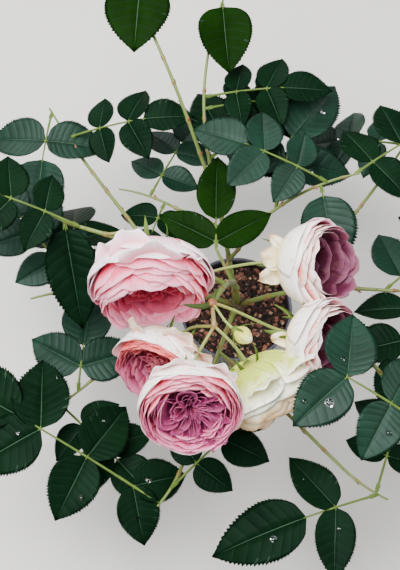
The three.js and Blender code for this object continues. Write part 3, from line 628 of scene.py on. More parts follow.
def blade_points(leaflet, puff, teeth_size, numbers):
    """The points of one detailed leaflet, on the folded blade that the solids have."""
    rows, teeth, puffs, _, _ = blade_pattern()
    cols = np.array(BLADE_COLUMNS)
    fold = LEAFLET_FOLD * (0.7 + 0.9 * next(numbers))
    curl = LEAFLET_CURL * (0.6 + 1.0 * next(numbers))
    twist = 0.16 * (next(numbers) - 0.5)
    wave, phase = 0.03 * next(numbers) + 0.012, FULL_TURN * next(numbers)
    skew = 0.06 * (next(numbers) - 0.5)
    long, half = leaflet["length"], leaflet["half"]

    def settle(a, c, extra):
        lift = (fold * np.abs(c) ** 1.2 * half - curl * long * a * a + twist * c * half * a * 2
                + wave * long * np.sin(FULL_TURN * 1.6 * a + phase + np.sign(c)) * c * c * 0.5 + extra)
        sway = skew * long * a * a
        return (leaflet["root"] + leaflet["direction"] * (a * long)[..., None]
                + leaflet["side"] * (c * half + sway)[..., None] + leaflet["normal"] * lift[..., None])

    def spread(k_shares):
        v = np.abs(k_shares)[None, :]
        margin, middle = rows[:, None], (rows - 0.15 * np.sin(np.pi * rows))[:, None]
        width = outline(rows)[:, None]
        tooth = teeth_size * teeth[:, None] * np.minimum(1, width * 1.5) * (v > 0.999)
        a = middle + (margin - middle) * v ** 1.4 + tooth * 0.9 * half / long
        return a, np.sign(k_shares)[None, :] * (v * width + tooth)

    wide = np.concatenate([-cols[:0:-1], cols])
    a, c = spread(wide)
    shape = np.sqrt(np.clip(np.abs(wide) * (1 - np.abs(wide)) * 4, 0, 1))[None, :]
    groove = np.where(np.abs(wide) < 0.01, -0.006, 0)[None, :]
    top = settle(a, c, long * (puff * puffs[:, None] * shape + groove))
    a, c = spread(np.array((-0.55, 0, 0.55)))
    depth = np.array((0.004, 0.014, 0.004))[None, :]
    under = settle(a, c, long * (puff * puffs[:, None] * 0.5 - depth))
    ends = settle(np.array((0.0, 1.0)), np.array((0.0, 0.0)), np.zeros(2))
    return np.vstack([ends[:1], top.reshape(-1, 3), ends[1:], under.reshape(-1, 3)])


# Sizes and colours that a user would change

def colour(name, description, code):
    return FloatVectorProperty(name=name, description=description, subtype="COLOR", size=4,
                               min=0, max=1, default=linear(code))


class RosePotSettings(bpy.types.PropertyGroup):
    """The nursery pot."""
    segments: IntProperty(name="Segments", description="Faces round the pot", default=120, min=24, max=256)
    plastic: colour("Plastic", "Black moulded polypropylene", "#19181b")
    # Painted highlight: the lighter lilac grey along the rim stands for the light's reflection on its thin
    # edge.
    bloom: colour("Rim highlight", "Greyed plastic along the rim", "#77738a")


class RoseGritSettings(bpy.types.PropertyGroup):
    """The baked-clay granules that fill the pot."""
    grain: FloatProperty(name="Grain", description="Largest size of a granule", default=0.0072,
                         min=0.002, max=0.02, unit="LENGTH")
    dark: colour("Dark", "Wet granules", "#150e09")
    brown: colour("Brown", "Most of the granules", "#331d15")
    salmon: colour("Salmon", "Dry fired granules", "#7a4e3e")
    tan: colour("Tan", "Palest granules", "#a08066")


class RoseCaneSettings(bpy.types.PropertyGroup):
    """Woody base, canes, boughs and flower stalks."""
    bark: colour("Bark", "Young bark of the base", "#5d4a34")
    bark_dark: colour("Bark furrows", "Cracks between the ridges", "#2e2418")
    green: colour("Cane", "Green skin of the canes", "#56742f")
    flush: colour("Flush", "Red-brown flush at nodes and on the sunny side", "#7a4a30")
    stalk: colour("Stalk", "Pale green of the flower stalks", "#7e9048")
    prickle: colour("Prickle", "Prickles", "#8a4a34")
    bract: colour("Bract", "Leafy bracts at the cluster's node", "#38461e")


class RoseLeafSettings(bpy.types.PropertyGroup):
    """Leaflets, their stalks and stipules."""
    puff: FloatProperty(name="Puff", default=0.0052, min=0, max=0.03, subtype="FACTOR",
                        description="Rise of the blade between side veins, as a share of length")
    teeth: FloatProperty(name="Teeth", description="Depth of the teeth, as a share of the half width",
                         default=0.036, min=0, max=0.1, subtype="FACTOR")
    deep: colour("Deep green", "Old leaves", "#06180b")
    blue: colour("Blue green", "Full-grown leaves with a waxy bloom", "#11271c")
    young: colour("Young green", "Last leaves of the year's growth", "#0a2004")
    midrib: colour("Midrib", "Pale line down the middle of a leaflet", "#253f2c")
    vein: colour("Side veins", "Fine lines from the midrib to the edge", "#0e2012")
    under: colour("Underside", "Matt underside", "#273c2d")
    petiole: colour("Leaf stalk", "Leaf stalks and stipules", "#4e6228")


class RoseBloomSettings(bpy.types.PropertyGroup):
    """Petals, calyx and bud."""
    thickness: FloatProperty(name="Petal", description="Thickness of a petal", default=0.0004,
                             min=0.0001, max=0.002, unit="LENGTH")
    ruffle: FloatProperty(name="Ruffle", description="Waves of the petal edges, as a share of the radius",
                          default=0.022, min=0, max=0.1, subtype="FACTOR")


class RoseStageSettings(bpy.types.PropertyGroup):
    """Floor, lights and camera."""
    lens: FloatProperty(name="Lens", description="Focal length of the camera, in millimetres", default=70,
                        min=10, max=300)
    elevation: FloatProperty(name="Elevation", description="Height of the view above the horizon",
                             default=math.radians(66), subtype="ANGLE")
    distance: FloatProperty(name="Distance", description="Camera to the middle of the cluster",
                            default=0.875, unit="LENGTH")
    floor: colour("Floor", "Pale floor", "#c6c4be")


class RoseBushSettings(bpy.types.PropertyGroup):
    """All settings of the potted rose bush."""
    pot: PointerProperty(type=RosePotSettings)
    grit: PointerProperty(type=RoseGritSettings)
    cane: PointerProperty(type=RoseCaneSettings)
    leaf: PointerProperty(type=RoseLeafSettings)
    bloom: PointerProperty(type=RoseBloomSettings)
    stage: PointerProperty(type=RoseStageSettings)


# Materials

# How far down the rim of the pot its painted highlight reaches, in millimetres. Then, as shares of a petal's
# length: where its foot's colour ends, and how far noise drives its colours.
RIM_HIGHLIGHT_DEPTH = 4.5
TINT_FOOT = 0.3
TINT_DRIFT = 0.35


def new_material(name):
    """A new material with an empty node tree, that tree and its object coordinates."""
    material = bpy.data.materials.new(name)
    material.use_nodes = True
    tree = material.node_tree
    tree.nodes.clear()
    return material, tree, add_node(tree, "ShaderNodeTexCoord").outputs["Object"]


def finish_material(material, sockets, relief=None, strength=0.0, depth=0.0):
    """Adds the shader with its sockets, and a relief as a bump of "depth" metres."""
    tree = material.node_tree
    if relief is not None:
        bump = add_node(tree, "ShaderNodeBump", {"Height": relief, "Strength": strength, "Distance": depth})
        sockets = {**sockets, "Normal": bump.outputs[0]}
    shader = add_node(tree, "ShaderNodeBsdfPrincipled", sockets)
    add_node(tree, "ShaderNodeOutputMaterial", {"Surface": shader.outputs[0]})
    return material


def mottled(tree, place, tint, grain, levels):
    """A tint that clouds of noise, of a scale and detail, take from a darker to a lighter level."""
    cloud = add_node(tree, "ShaderNodeTexNoise", {"Vector": place, "Scale": grain[0], "Detail": grain[1]})
    level = add_node(tree, "ShaderNodeMapRange", {"Value": cloud.outputs[0], "From Min": 0.3,
                                                  "From Max": 0.7, "To Min": levels[0], "To Max": levels[1]})
    shade = add_node(tree, "ShaderNodeVectorMath", {0: tint[:3], "Scale": level.outputs[0]},
                     operation="SCALE")
    return shade.outputs[0]


def black_polypropylene(pot):
    """Thin moulded polypropylene: near black, satin, finely scuffed, with a painted lilac-grey highlight
    along its rolled rim.
    """
    material, tree, place = new_material("black_polypropylene")
    scuff = add_node(tree, "ShaderNodeTexNoise", {"Vector": place, "Scale": 900.0, "Detail": 4.0})
    patch = add_node(tree, "ShaderNodeTexNoise", {"Vector": place, "Scale": 60.0, "Detail": 3.0})
    height = add_node(tree, "ShaderNodeSeparateXYZ", {"Vector": place}).outputs["Z"]
    # Painted highlight: near the top of the rim the black is mixed, in patches, towards a lighter lilac grey
    # that stands for the light's reflection on the thin edge.
    rim = add_node(tree, "ShaderNodeMapRange", {
        "Value": height, "From Min": (POT_HEIGHT - RIM_HIGHLIGHT_DEPTH) * MM, "From Max": (POT_HEIGHT - 0.5) * MM,
        "To Min": 0.04, "To Max": 0.62})
    worn = add_node(tree, "ShaderNodeMath", {0: rim.outputs[0], 1: patch.outputs[0]}, operation="MULTIPLY")
    mix = add_node(tree, "ShaderNodeMix", {"Factor": worn.outputs[0], 6: pot.plastic, 7: pot.bloom},
                   data_type="RGBA")
    rough = add_node(tree, "ShaderNodeMapRange", {"Value": patch.outputs[0], "To Min": 0.28, "To Max": 0.5})
    sockets = {"Base Color": mix.outputs[2], "Roughness": rough.outputs[0], "IOR": 1.49}
    return finish_material(material, sockets, scuff.outputs[0], 0.08, 0.0003)


def fired_clay(name, tint):
    """Baked-clay granule: matt and porous, with pits a fraction of a millimetre wide."""
    material, tree, place = new_material(name)
    pits = add_node(tree, "ShaderNodeTexNoise", {"Vector": place, "Scale": 1400.0, "Detail": 3.0})
    tone = mottled(tree, place, tint, (160.0, 2.0), (0.55, 1.35))
    sockets = {"Base Color": tone, "Roughness": 0.85, "IOR": 1.45}
    return finish_material(material, sockets, pits.outputs[0], 0.5, 0.0008)


def young_bark(cane):
    """Thin young bark: brown ridges with dark furrows along them."""
    material, tree, place = new_material("young_bark")
    stretch = add_node(tree, "ShaderNodeMapping", {"Vector": place, "Scale": (1.0, 1.0, 0.22)})
    crack = add_node(tree, "ShaderNodeTexNoise", {"Vector": stretch.outputs[0], "Scale": 900.0,
                                                  "Detail": 5.0})
    ramp = add_node(tree, "ShaderNodeMapRange", {"Value": crack.outputs[0], "From Min": 0.35,
                                                 "From Max": 0.65})
    mix = add_node(tree, "ShaderNodeMix", {"Factor": ramp.outputs[0], 6: cane.bark_dark, 7: cane.bark},
                   data_type="RGBA")
    sockets = {"Base Color": mix.outputs[2], "Roughness": 0.8}
    return finish_material(material, sockets, crack.outputs[0], 0.6, 0.0008)


def cane_skin(name, green, flush, amount):
    """Smooth waxy cane skin: satin green with a red-brown flush and a fine grain."""
    material, tree, place = new_material(name)
    cloud = add_node(tree, "ShaderNodeTexNoise", {"Vector": place, "Scale": 45.0, "Detail": 3.0})
    node = add_node(tree, "ShaderNodeAttribute", attribute_name="flush").outputs["Fac"]
    near = add_node(tree, "ShaderNodeMath", {0: cloud.outputs[0], 1: amount}, operation="MULTIPLY")
    both = add_node(tree, "ShaderNodeMath", {0: near.outputs[0], 1: node}, operation="ADD", use_clamp=True)
    mix = add_node(tree, "ShaderNodeMix", {"Factor": both.outputs[0], 6: green, 7: flush}, data_type="RGBA")
    fine = add_node(tree, "ShaderNodeTexNoise", {"Vector": place, "Scale": 1100.0, "Detail": 2.0})
    sockets = {"Base Color": mix.outputs[2], "Roughness": 0.42, "IOR": 1.45, "Subsurface Weight": 0.05,
               "Subsurface Scale": 0.001}
    return finish_material(material, sockets, fine.outputs[0], 0.12, 0.0004)


def leaf_blade(name, tint, gloss, sheen):
    """Upper side of a rose leaflet: deep green wax with a satin gloss and a fine net of veins."""
    material, tree, place = new_material(name)
    # The net of small veins has meshes about 1.4 mm wide.
    net = add_node(tree, "ShaderNodeTexVoronoi", {"Vector": place, "Scale": 700.0},
                   feature="DISTANCE_TO_EDGE")
    sockets = {"Base Color": mottled(tree, place, tint, (38.0, 4.0), (0.74, 1.28)), "Roughness": 0.42,
               "IOR": 1.45, "Specular IOR Level": gloss, "Specular Tint": linear(sheen)}
    return finish_material(material, sockets, net.outputs[0], 0.25, 0.0004)


def soft_green(name, tint, rough, gloss=0.16):
    """Veins, undersides, leaf stalks and sepals: matt green without the wax of the blade."""
    material, tree, place = new_material(name)
    return finish_material(material, {"Base Color": mottled(tree, place, tint, (120.0, 3.0), (0.8, 1.2)),
                                      "Roughness": rough, "Specular IOR Level": gloss})


def petal_velvet(name, outside, inside, middle=0.75, aged=0.0):
    """Rose petal: velvety satin, deeper at its foot (partly painted shade) than at its lip, with tan spots
    where aged.
    """
    material, tree, place = new_material(name)
    reach, across, petal, inner = (add_node(tree, "ShaderNodeAttribute", attribute_name=key).outputs["Fac"]
                                   for key in ("reach", "across", "petal", "inner"))
    # Fine veins fan out from the foot to the lip, about 1.5 mm apart.
    fan = add_node(tree, "ShaderNodeCombineXYZ", {"X": across, "Y": reach, "Z": petal}).outputs[0]
    streak = add_node(tree, "ShaderNodeTexNoise", {"Vector": fan, "Scale": 1.0, "Detail": 4.0}).outputs[0]
    cloud = add_node(tree, "ShaderNodeTexNoise", {"Vector": place, "Scale": 70.0, "Detail": 3.0}).outputs[0]
    both = add_node(tree, "ShaderNodeMath", {0: streak, 1: cloud}, operation="ADD").outputs[0]
    drift = TINT_DRIFT - TINT_DRIFT * middle
    shift = add_node(tree, "ShaderNodeMapRange", {"Value": both, "From Min": 0.6, "From Max": 1.4,
                                                  "To Min": -drift, "To Max": drift}).outputs[0]
    where = add_node(tree, "ShaderNodeMath", {0: reach, 1: shift}, operation="ADD").outputs[0]
    # Painted shade, partly the petal's own colour: each side darkens from its pale lip to a deep foot, where
    # the petals sit in the shade between rows and down in the hollow.
    sides = []
    for codes in (outside, inside):
        ramp = add_node(tree, "ShaderNodeValToRGB", {"Fac": where})
        stops = ramp.color_ramp.elements
        stops[0].position = TINT_FOOT
        stops.new(middle)
        for stop, code in zip(stops, codes):
            stop.color = linear(code)
        sides.append(ramp.outputs[0])
    mix = add_node(tree, "ShaderNodeMix", {"Factor": inner, 6: sides[0], 7: sides[1]}, data_type="RGBA")
    # Spots are 2 to 6 mm wide.
    patch = add_node(tree, "ShaderNodeTexNoise", {"Vector": place, "Scale": 190.0, "Detail": 5.0}).outputs[0]
    spots = add_node(tree, "ShaderNodeMapRange", {"Value": patch, "From Min": 0.55, "From Max": 0.7,
                                                  "To Max": aged}).outputs[0]
    worn = add_node(tree, "ShaderNodeMix", {"Factor": spots, 6: mix.outputs[2], 7: linear("#a87c50")},
                    data_type="RGBA")
    sockets = {"Base Color": worn.outputs[2], "Roughness": 0.55, "IOR": 1.4, "Specular IOR Level": 0.3,
               "Subsurface Weight": 0.3, "Subsurface Scale": 0.003, "Subsurface Radius": (1.0, 0.5, 0.5)}
    return finish_material(material, sockets, streak, 0.35, 0.0005)


def water(name):
    """Clear water lying in drops."""
    return finish_material(new_material(name)[0], {
        "Base Color": (1.0, 1.0, 1.0, 1.0), "Roughness": 0.0, "IOR": 1.33, "Transmission Weight": 1.0})


# Pot and grit

# The mould's steps up the wall of the pot: their number, spacing, and how far each stands out.
WALL_STEPS = 6
STEP_PITCH = 12
STEP_PROUD = 0.28


class ROSE_OT_pot(bpy.types.Operator):
    """Turns the thin nursery pot with its rolled rim, wall steps and drain holes"""
    bl_idname = "rose.pot"
    bl_label = "Pot"

    def execute(self, context):
        settings = context.scene.rose_bush.pot
        slope = (POT_RIM_RADIUS - RIM_OVERHANG - POT_BASE_RADIUS) / (POT_HEIGHT - RIM_HEIGHT)

        def wall_point(z, proud=0.0):
            return POT_BASE_RADIUS + slope * z + proud, z

        wall = [wall_point(6)]
        for step in range(1, WALL_STEPS + 1):
            wall += [wall_point(step * STEP_PITCH, STEP_PROUD), wall_point(step * STEP_PITCH + 1)]
        wall += [wall_point(82), wall_point(87)]
        rim = [(POT_RIM_RADIUS - RIM_OVERHANG / 2 + RIM_OVERHANG * 0.5 * math.sin(a),
                POT_HEIGHT - RIM_HEIGHT / 2 + RIM_HEIGHT * 0.5 * math.cos(a))
               for a in np.linspace(math.pi * 0.96, 0, 9)]
        profile = [(0, 0), (14, 0), (POT_BASE_RADIUS - 6, 0), (POT_BASE_RADIUS - 1.4, 0.0),
                   (POT_BASE_RADIUS - 0.4, 0.4), (POT_BASE_RADIUS, 1.2), *wall, *rim,
                   (POT_RIM_RADIUS - RIM_OVERHANG - POT_WALL * 0.8, POT_HEIGHT - 0.5),
                   (POT_RIM_RADIUS - RIM_OVERHANG - POT_WALL - 0.2, POT_HEIGHT - 2.2),
                   (POT_BASE_RADIUS - POT_WALL, POT_FLOOR), (0, POT_FLOOR)]
        piece = self.lathe("nursery_pot", profile, settings.segments, black_polypropylene(settings))
        holes = Shape()
        for i in range(DRAIN_HOLES):
            middle = heading(360 * i / DRAIN_HOLES, 0) * DRAIN_RING_RADIUS
            shaft = Line(middle - (0, 0, 3), middle + (0, 0, 4))
            holes.add(*tube(shaft, (DRAIN_RADIUS, DRAIN_RADIUS), 24, 1, False))
        cutter = holes.finish("drain_holes", [])
        cut = piece.modifiers.new("drain", "BOOLEAN")
        cut.object, cut.operation, cut.solver = cutter, "DIFFERENCE", "EXACT"
        mesh = bpy.data.meshes.new_from_object(piece.evaluated_get(context.evaluated_depsgraph_get()))
        piece.modifiers.clear()
        piece.data = mesh
        bpy.data.objects.remove(cutter)
        seat(piece, "pot_plastic", "pot")
        return {"FINISHED"}

    @staticmethod
    def lathe(name, profile, segments, material):
        """Turns a closed profile about the pot's axis."""
        draft = bmesh.new()
        rings = []
        for radius, z in profile:
            if radius == 0:
                rings.append([draft.verts.new((0, 0, z * MM))] * segments)
            else:
                rings.append([draft.verts.new((radius * MM * math.cos(a), radius * MM * math.sin(a), z * MM))
                              for a in np.arange(segments) * FULL_TURN / segments])
        for low, high in zip(rings, rings[1:]):
            for j in range(segments):
                k = (j + 1) % segments
                corners = dict.fromkeys([low[j], low[k], high[k], high[j]])
                if len(corners) > 2:
                    draft.faces.new(list(corners)).smooth = True
        bmesh.ops.recalc_face_normals(draft, faces=draft.faces)
        mesh = mesh_of(name, draft)
        mesh.materials.append(material)
        return add_object(name, mesh)


def granule(name, seed):
    """One broken clay granule, about one unit wide, to be scattered."""
    draft = bmesh.new()
    bmesh.ops.create_icosphere(draft, subdivisions=2, radius=0.5)
    for vert in draft.verts:
        spot = vert.co.copy()
        dent = noise.noise(spot * 2.2 + Vector((seed * 3.1, 0, 0))) * 0.45
        flat = noise.noise(spot * 1.1 + Vector((0, seed * 5.7, 0))) * 0.5
        vert.co = spot * (1 + dent + flat)
        vert.co.z *= 0.72
    return bpy.data.objects.new(name, mesh_of(name, draft))


def copying_tree(name, inputs=()):
    """A node tree that sets copies of an object on a surface, and the outputs of its input node."""
    tree = bpy.data.node_groups.new(name, "GeometryNodeTree")
    for key, kind in (("Geometry", "Geometry"), ("Copied", "Object"), *inputs, ("Seed", "Int"),
                      ("Smallest", "Float"), ("Largest", "Float"), ("Material", "Material")):
        tree.interface.new_socket(key, in_out="INPUT", socket_type=f"NodeSocket{kind}")
    tree.interface.new_socket("Geometry", in_out="OUTPUT", socket_type="NodeSocketGeometry")
    return tree, add_node(tree, "NodeGroupInput").outputs


def set_copies(tree, enter, points, rotation, smooth):
    """Ends such a tree: copies of random sizes on the points, as one mesh with its material."""
    size = add_node(tree, "FunctionNodeRandomValue", {2: enter["Smallest"], 3: enter["Largest"],
                                                      "Seed": enter["Seed"]}, data_type="FLOAT")
    copied = add_node(tree, "GeometryNodeObjectInfo", {"Object": enter["Copied"]})
    copies = add_node(tree, "GeometryNodeInstanceOnPoints", {
        "Points": points, "Instance": copied.outputs["Geometry"], "Rotation": rotation,
        "Scale": size.outputs[1]})
    real = add_node(tree, "GeometryNodeRealizeInstances", {"Geometry": copies.outputs[0]})
    shaded = add_node(tree, "GeometryNodeSetShadeSmooth", {"Geometry": real.outputs[0],
                                                           "Shade Smooth": smooth})
    painted = add_node(tree, "GeometryNodeSetMaterial", {"Geometry": shaded.outputs[0],
                                                         "Material": enter["Material"]})
    add_node(tree, "NodeGroupOutput", {"Geometry": painted.outputs[0]})
    return tree


def scatter_tree():
    """Node tree that strews granules on a surface, turned every way."""
    tree, enter = copying_tree("strew_granules", (("Spacing", "Float"), ("Density", "Float")))
    points = add_node(tree, "GeometryNodeDistributePointsOnFaces", {
        "Mesh": enter["Geometry"], "Distance Min": enter["Spacing"], "Density Max": enter["Density"],
        "Seed": enter["Seed"]}, distribute_method="POISSON")
    turn = add_node(tree, "FunctionNodeRandomValue", {"Max": (FULL_TURN,) * 3, "Seed": enter["Seed"]},
                    data_type="FLOAT_VECTOR")
    return set_copies(tree, enter, points.outputs["Points"], turn.outputs["Value"], False)


def run_nodes(name, host, tree, inputs):
    """Runs a node tree on a host mesh and returns its result as a plain mesh object."""
    modifier = host.modifiers.new(tree.name, "NODES")
    modifier.node_group = tree
    for item in tree.interface.items_tree:
        if item.in_out == "INPUT" and item.name in inputs:
            modifier[item.identifier] = inputs[item.name]
    graph = bpy.context.evaluated_depsgraph_get()
    mesh = bpy.data.meshes.new_from_object(host.evaluated_get(graph), depsgraph=graph)
    mesh.name = name
    host.modifiers.clear()
    return add_object(name, mesh)


# The bed under the loose granules: how far it lies below the top of the grit, and its unevenness.
BED_DEPTH = 1.5
BED_RELIEF = 1.1


class ROSE_OT_grit(bpy.types.Operator):
    """Fills the pot with a bed of baked-clay granules of four colours"""
    bl_idname = "rose.grit"
    bl_label = "Grit"

    def execute(self, context):
        grit = context.scene.rose_bush.grit
        inside = (POT_RIM_RADIUS - RIM_OVERHANG - POT_WALL - 1.2) * 0.97
        floor_radius, level = POT_BASE_RADIUS - POT_WALL - 0.6, SOIL_TOP - BED_DEPTH
        rings, sides = 14, 72
        circle = [(math.cos(a), math.sin(a)) for a in np.arange(sides) * FULL_TURN / sides]
        points = [(0, 0, level)]
        for i in range(1, rings + 1):
            radius = inside * i / rings
            for x, y in circle:
                spot = Vector((radius * x, radius * y, 0))
                points.append((spot.x, spot.y, level + BED_RELIEF * noise.noise(spot * 0.09)))
        points += [(floor_radius * x, floor_radius * y, POT_FLOOR + GAP) for x, y in circle]
        points.append((0, 0, POT_FLOOR + GAP))
        last = 1 + rings * sides
        faces = [[0, 1 + j, 1 + (j + 1) % sides] for j in range(sides)]
        faces += [[a, d, c, b] for a, b, c, d in ring_faces(rings + 1, sides, 1)]
        faces += [[last + (j + 1) % sides, last + j, len(points) - 1] for j in range(sides)]
        bed, top = Shape(), Shape()
        bed.add(points, faces)
        top.add(points[:last], faces[:rings * sides])
        mound = bed.finish("grit_bed", [fired_clay("wet_clay_grit", grit.dark)])
        host, tree = top.finish("grit_host", []), scatter_tree()
        # Name, colour, share of the largest size, seed and spacing in metres of each kind.
        kinds = (("dark", grit.dark, 0.9, 6, 0.0032), ("brown", grit.brown, 1.0, 2, 0.0032),
                 ("salmon", grit.salmon, 1.0, 3, 0.0042), ("tan", grit.tan, 0.75, 4, 0.0056))
        for name, tint, share, seed, spacing in kinds:
            lump = granule(f"granule_{name}", seed)
            piece = run_nodes(f"granules_{name}", host, tree, {
                "Copied": lump, "Spacing": spacing, "Density": 0.9 / spacing ** 2,
                "Seed": 11 + seed, "Smallest": grit.grain * 0.45 * share, "Largest": grit.grain * share,
                "Material": fired_clay(f"fired_clay_{name}", tint)})
            seat(piece, "clay_grit")
            bpy.data.objects.remove(lump)
        bpy.data.objects.remove(host)
        seat(mound, "clay_grit", "soil")
        return {"FINISHED"}


# Woody base, canes and stalks

# How far the first node is from a cane's foot and each other one from the last, as a start and a
# width, how near the tip a node may be, and how far prickles are apart.
FIRST_NODE_RANGE = (12, 10)
NODE_RANGE = (24, 14)
NODE_MARGIN = 6
PRICKLE_SPACING = 17
SHOOT_SEED = 30
STALK_SEED = 60
PRICKLE_SEED = 900


def bark_bumps(share, angle, seed):
    """Lengthwise ridges and knots on young wood, as a share of the radius."""
    ridge = noise.noise(Vector((math.cos(angle) * 2.4, math.sin(angle) * 2.4, share * 2 + seed)))
    return 0.09 * ridge + 0.04 * math.sin(angle * 7 + 4 * ridge)


def skin_bumps(share, angle, seed):
    """The slight ribs of a green cane."""
    return 0.045 * noise.noise(Vector((math.cos(angle) * 1.6, math.sin(angle) * 1.6, share * 6 + seed)))


def node_shares(length, seed):
    """Where a cane has its nodes, as shares of its length."""
    numbers = stream(seed)
    shares, reach = [], draw(numbers, FIRST_NODE_RANGE)
    while reach < length - NODE_MARGIN:
        shares.append(reach / length)
        reach += draw(numbers, NODE_RANGE)
    return shares


def cane_shape(shape, line, radii, seed):
    """One cane with swollen nodes, its skin's ribs and a bud at each node."""
    sides, length = 14, line.length()
    shares = node_shares(length, seed)

    def radius(share):
        swell = sum(0.34 * math.exp(-(((share - s) * length) / 1.7) ** 2) for s in shares)
        return (radii[0] + (radii[1] - radii[0]) * share) * (1 + swell)

    steps = max(8, int(length / 1.6))
    points, faces = tube(line, radius, sides, steps, True, skin_bumps, seed)
    rows = np.repeat(np.linspace(0, 1, steps + 1), sides)
    flush = sum((0.38 * np.exp(-(((rows - s) * length) / 3.0) ** 2) for s in shares), np.zeros(len(rows)))
    shape.add(points, faces, 0, flush=np.append(flush, (0, 0)))
    for index, share in enumerate(shares):
        along = line.along(share)
        side = unit(np.cross(along, heading(GOLDEN_ANGLE * index + seed * 40, 20)))
        foot = line.at(share) + side * radius(share) * 0.7
        bud = Line(foot, foot + side * 1.6 + along * 1.2, foot + side * 1.9 + along * 3.6)
        shape.add(*tube(bud, lambda s: 1.05 * (1 - s) ** 0.6 + 0.08, 8, 5), 0, flush=0.8)


def prickle_tree():
    """Node tree that sets a prickle on each face of a cane's seats, pointing out of it."""
    tree, enter = copying_tree("set_prickles")
    aim = add_node(tree, "GeometryNodeInputNormal")
    turn = add_node(tree, "FunctionNodeAlignRotationToVector", {"Vector": aim.outputs[0]}, axis="Z")
    points = add_node(tree, "GeometryNodeMeshToPoints", {"Mesh": enter["Geometry"]}, mode="FACES")
    return set_copies(tree, enter, points.outputs[0], turn.outputs[0], True)


class ROSE_OT_woody_base(bpy.types.Operator):
    """Grows the short woody base with ridged bark and the stubs of pruned canes"""
    bl_idname = "rose.woody_base"
    bl_label = "Woody base"

    def execute(self, context):
        cane = context.scene.rose_bush.cane
        foot, top = SOIL_TOP - BED_DEPTH, SOIL_TOP + GAP + BASE_HEIGHT

        def radius(share):
            flare = BASE_FLARE * max(0, 1 - share * 3.2) ** 1.5
            crown = 0.9 * math.exp(-((share - 0.72) / 0.16) ** 2)
            return (BASE_RADIUS * (1 - 0.1 * share) + flare + crown) * (1 - max(0, share - 0.86) * 2.6)

        base = Shape()
        base.add(*tube(Line((0, 0, foot), (0, 0, top - 0.5)), radius, 40, 30, True, bark_bumps, 2))
        for azimuth, height, long in ((60, 98, 7), (150, 102, 5), (312, 96, 6)):
            start = heading(azimuth, 0) * 3.5 + (0, 0, height - 3)
            stub = Line(start, start + heading(azimuth, 50) * long)
            base.add(*tube(stub, (2.6, 2.2), 16, 6, False, bark_bumps, azimuth))
        seat(base.finish("woody_base", [young_bark(cane)]), "woody_base", "stem_base")
        return {"FINISHED"}


class ROSE_OT_canes(bpy.types.Operator):
    """Grows the canes, boughs and leafy shoots with nodes, buds and prickles"""
    bl_idname = "rose.canes"
    bl_label = "Canes"

    def execute(self, context):
        cane = context.scene.rose_bush.cane
        skin = cane_skin("green_cane_skin", cane.green, cane.flush, 0.35)
        seats = Shape()
        grown = plan()
        for index, limb in enumerate(LIMBS[:-1]):
            shape = Shape()
            line = grown["lines"][limb["name"]]
            cane_shape(shape, line, (limb["radius"] * 1.04, limb["tip"]), index)
            if limb["name"] == "flower_cane":
                knot = line.at(1)
                swell = Line(knot - line.along(1) * 4, knot + line.along(1) * 3)
                shape.add(*tube(swell, lambda s: 2 + 1.7 * math.sin(math.pi * s), 16, 10), 0, flush=0.9)
            seat(shape.finish(limb["name"] + "_skin", [skin]), "green_cane", limb["name"])
            self.seats_along(seats, line, limb, index)
        tips = Shape()
        for index, shoot in enumerate(grown["shoots"]):
            cane_shape(tips, shoot["line"], shoot["radii"], SHOOT_SEED + index)
        seat(tips.finish("shoot_stems", [skin]), "foliage")
        host = seats.finish("prickle_seats", [], smooth=False)
        point = Shape()
        hook = Line((0, 0, -0.4), (0, 0, 1.4), (0.9, 0, 3.6))
        point.add(*tube(hook, lambda s: 1.1 * (1 - s) ** 0.8 + 0.04, 8, 5))
        thorn = point.finish("prickle", [])
        pricks = run_nodes("prickles", host, prickle_tree(), {
            "Copied": thorn, "Smallest": 0.5, "Largest": 1.0, "Seed": 5,
            "Material": soft_green("prickle_horn", cane.prickle, 0.4)})
        bpy.data.objects.remove(thorn)
        bpy.data.objects.remove(host)
        seat(pricks, "green_cane")
        return {"FINISHED"}

    @staticmethod
    def seats_along(shape, line, limb, seed):
        """A small face on the cane's skin for each prickle, pointing out of it."""
        numbers = stream(PRICKLE_SEED + seed)
        count = line.length() / PRICKLE_SPACING
        for i in range(int(count)):
            share = 0.08 + 0.86 * (i + 0.6 * next(numbers)) / count
            along = line.along(share)
            across = unit(np.cross(along, (0.2, 0.4, 1)))
            out = across * math.cos(i * 2.4) + np.cross(along, across) * math.sin(i * 2.4)
            side = np.cross(along, out)
            radius = limb["radius"] + (limb["tip"] - limb["radius"]) * share
            middle = line.at(share) + out * radius * 0.92
            corners = [middle + along * a * 0.3 + side * b * 0.3 for a, b in SQUARE]
            if np.cross(corners[1] - corners[0], corners[2] - corners[1]) @ out < 0:
                corners.reverse()
            shape.add(corners, [[0, 1, 2, 3]])


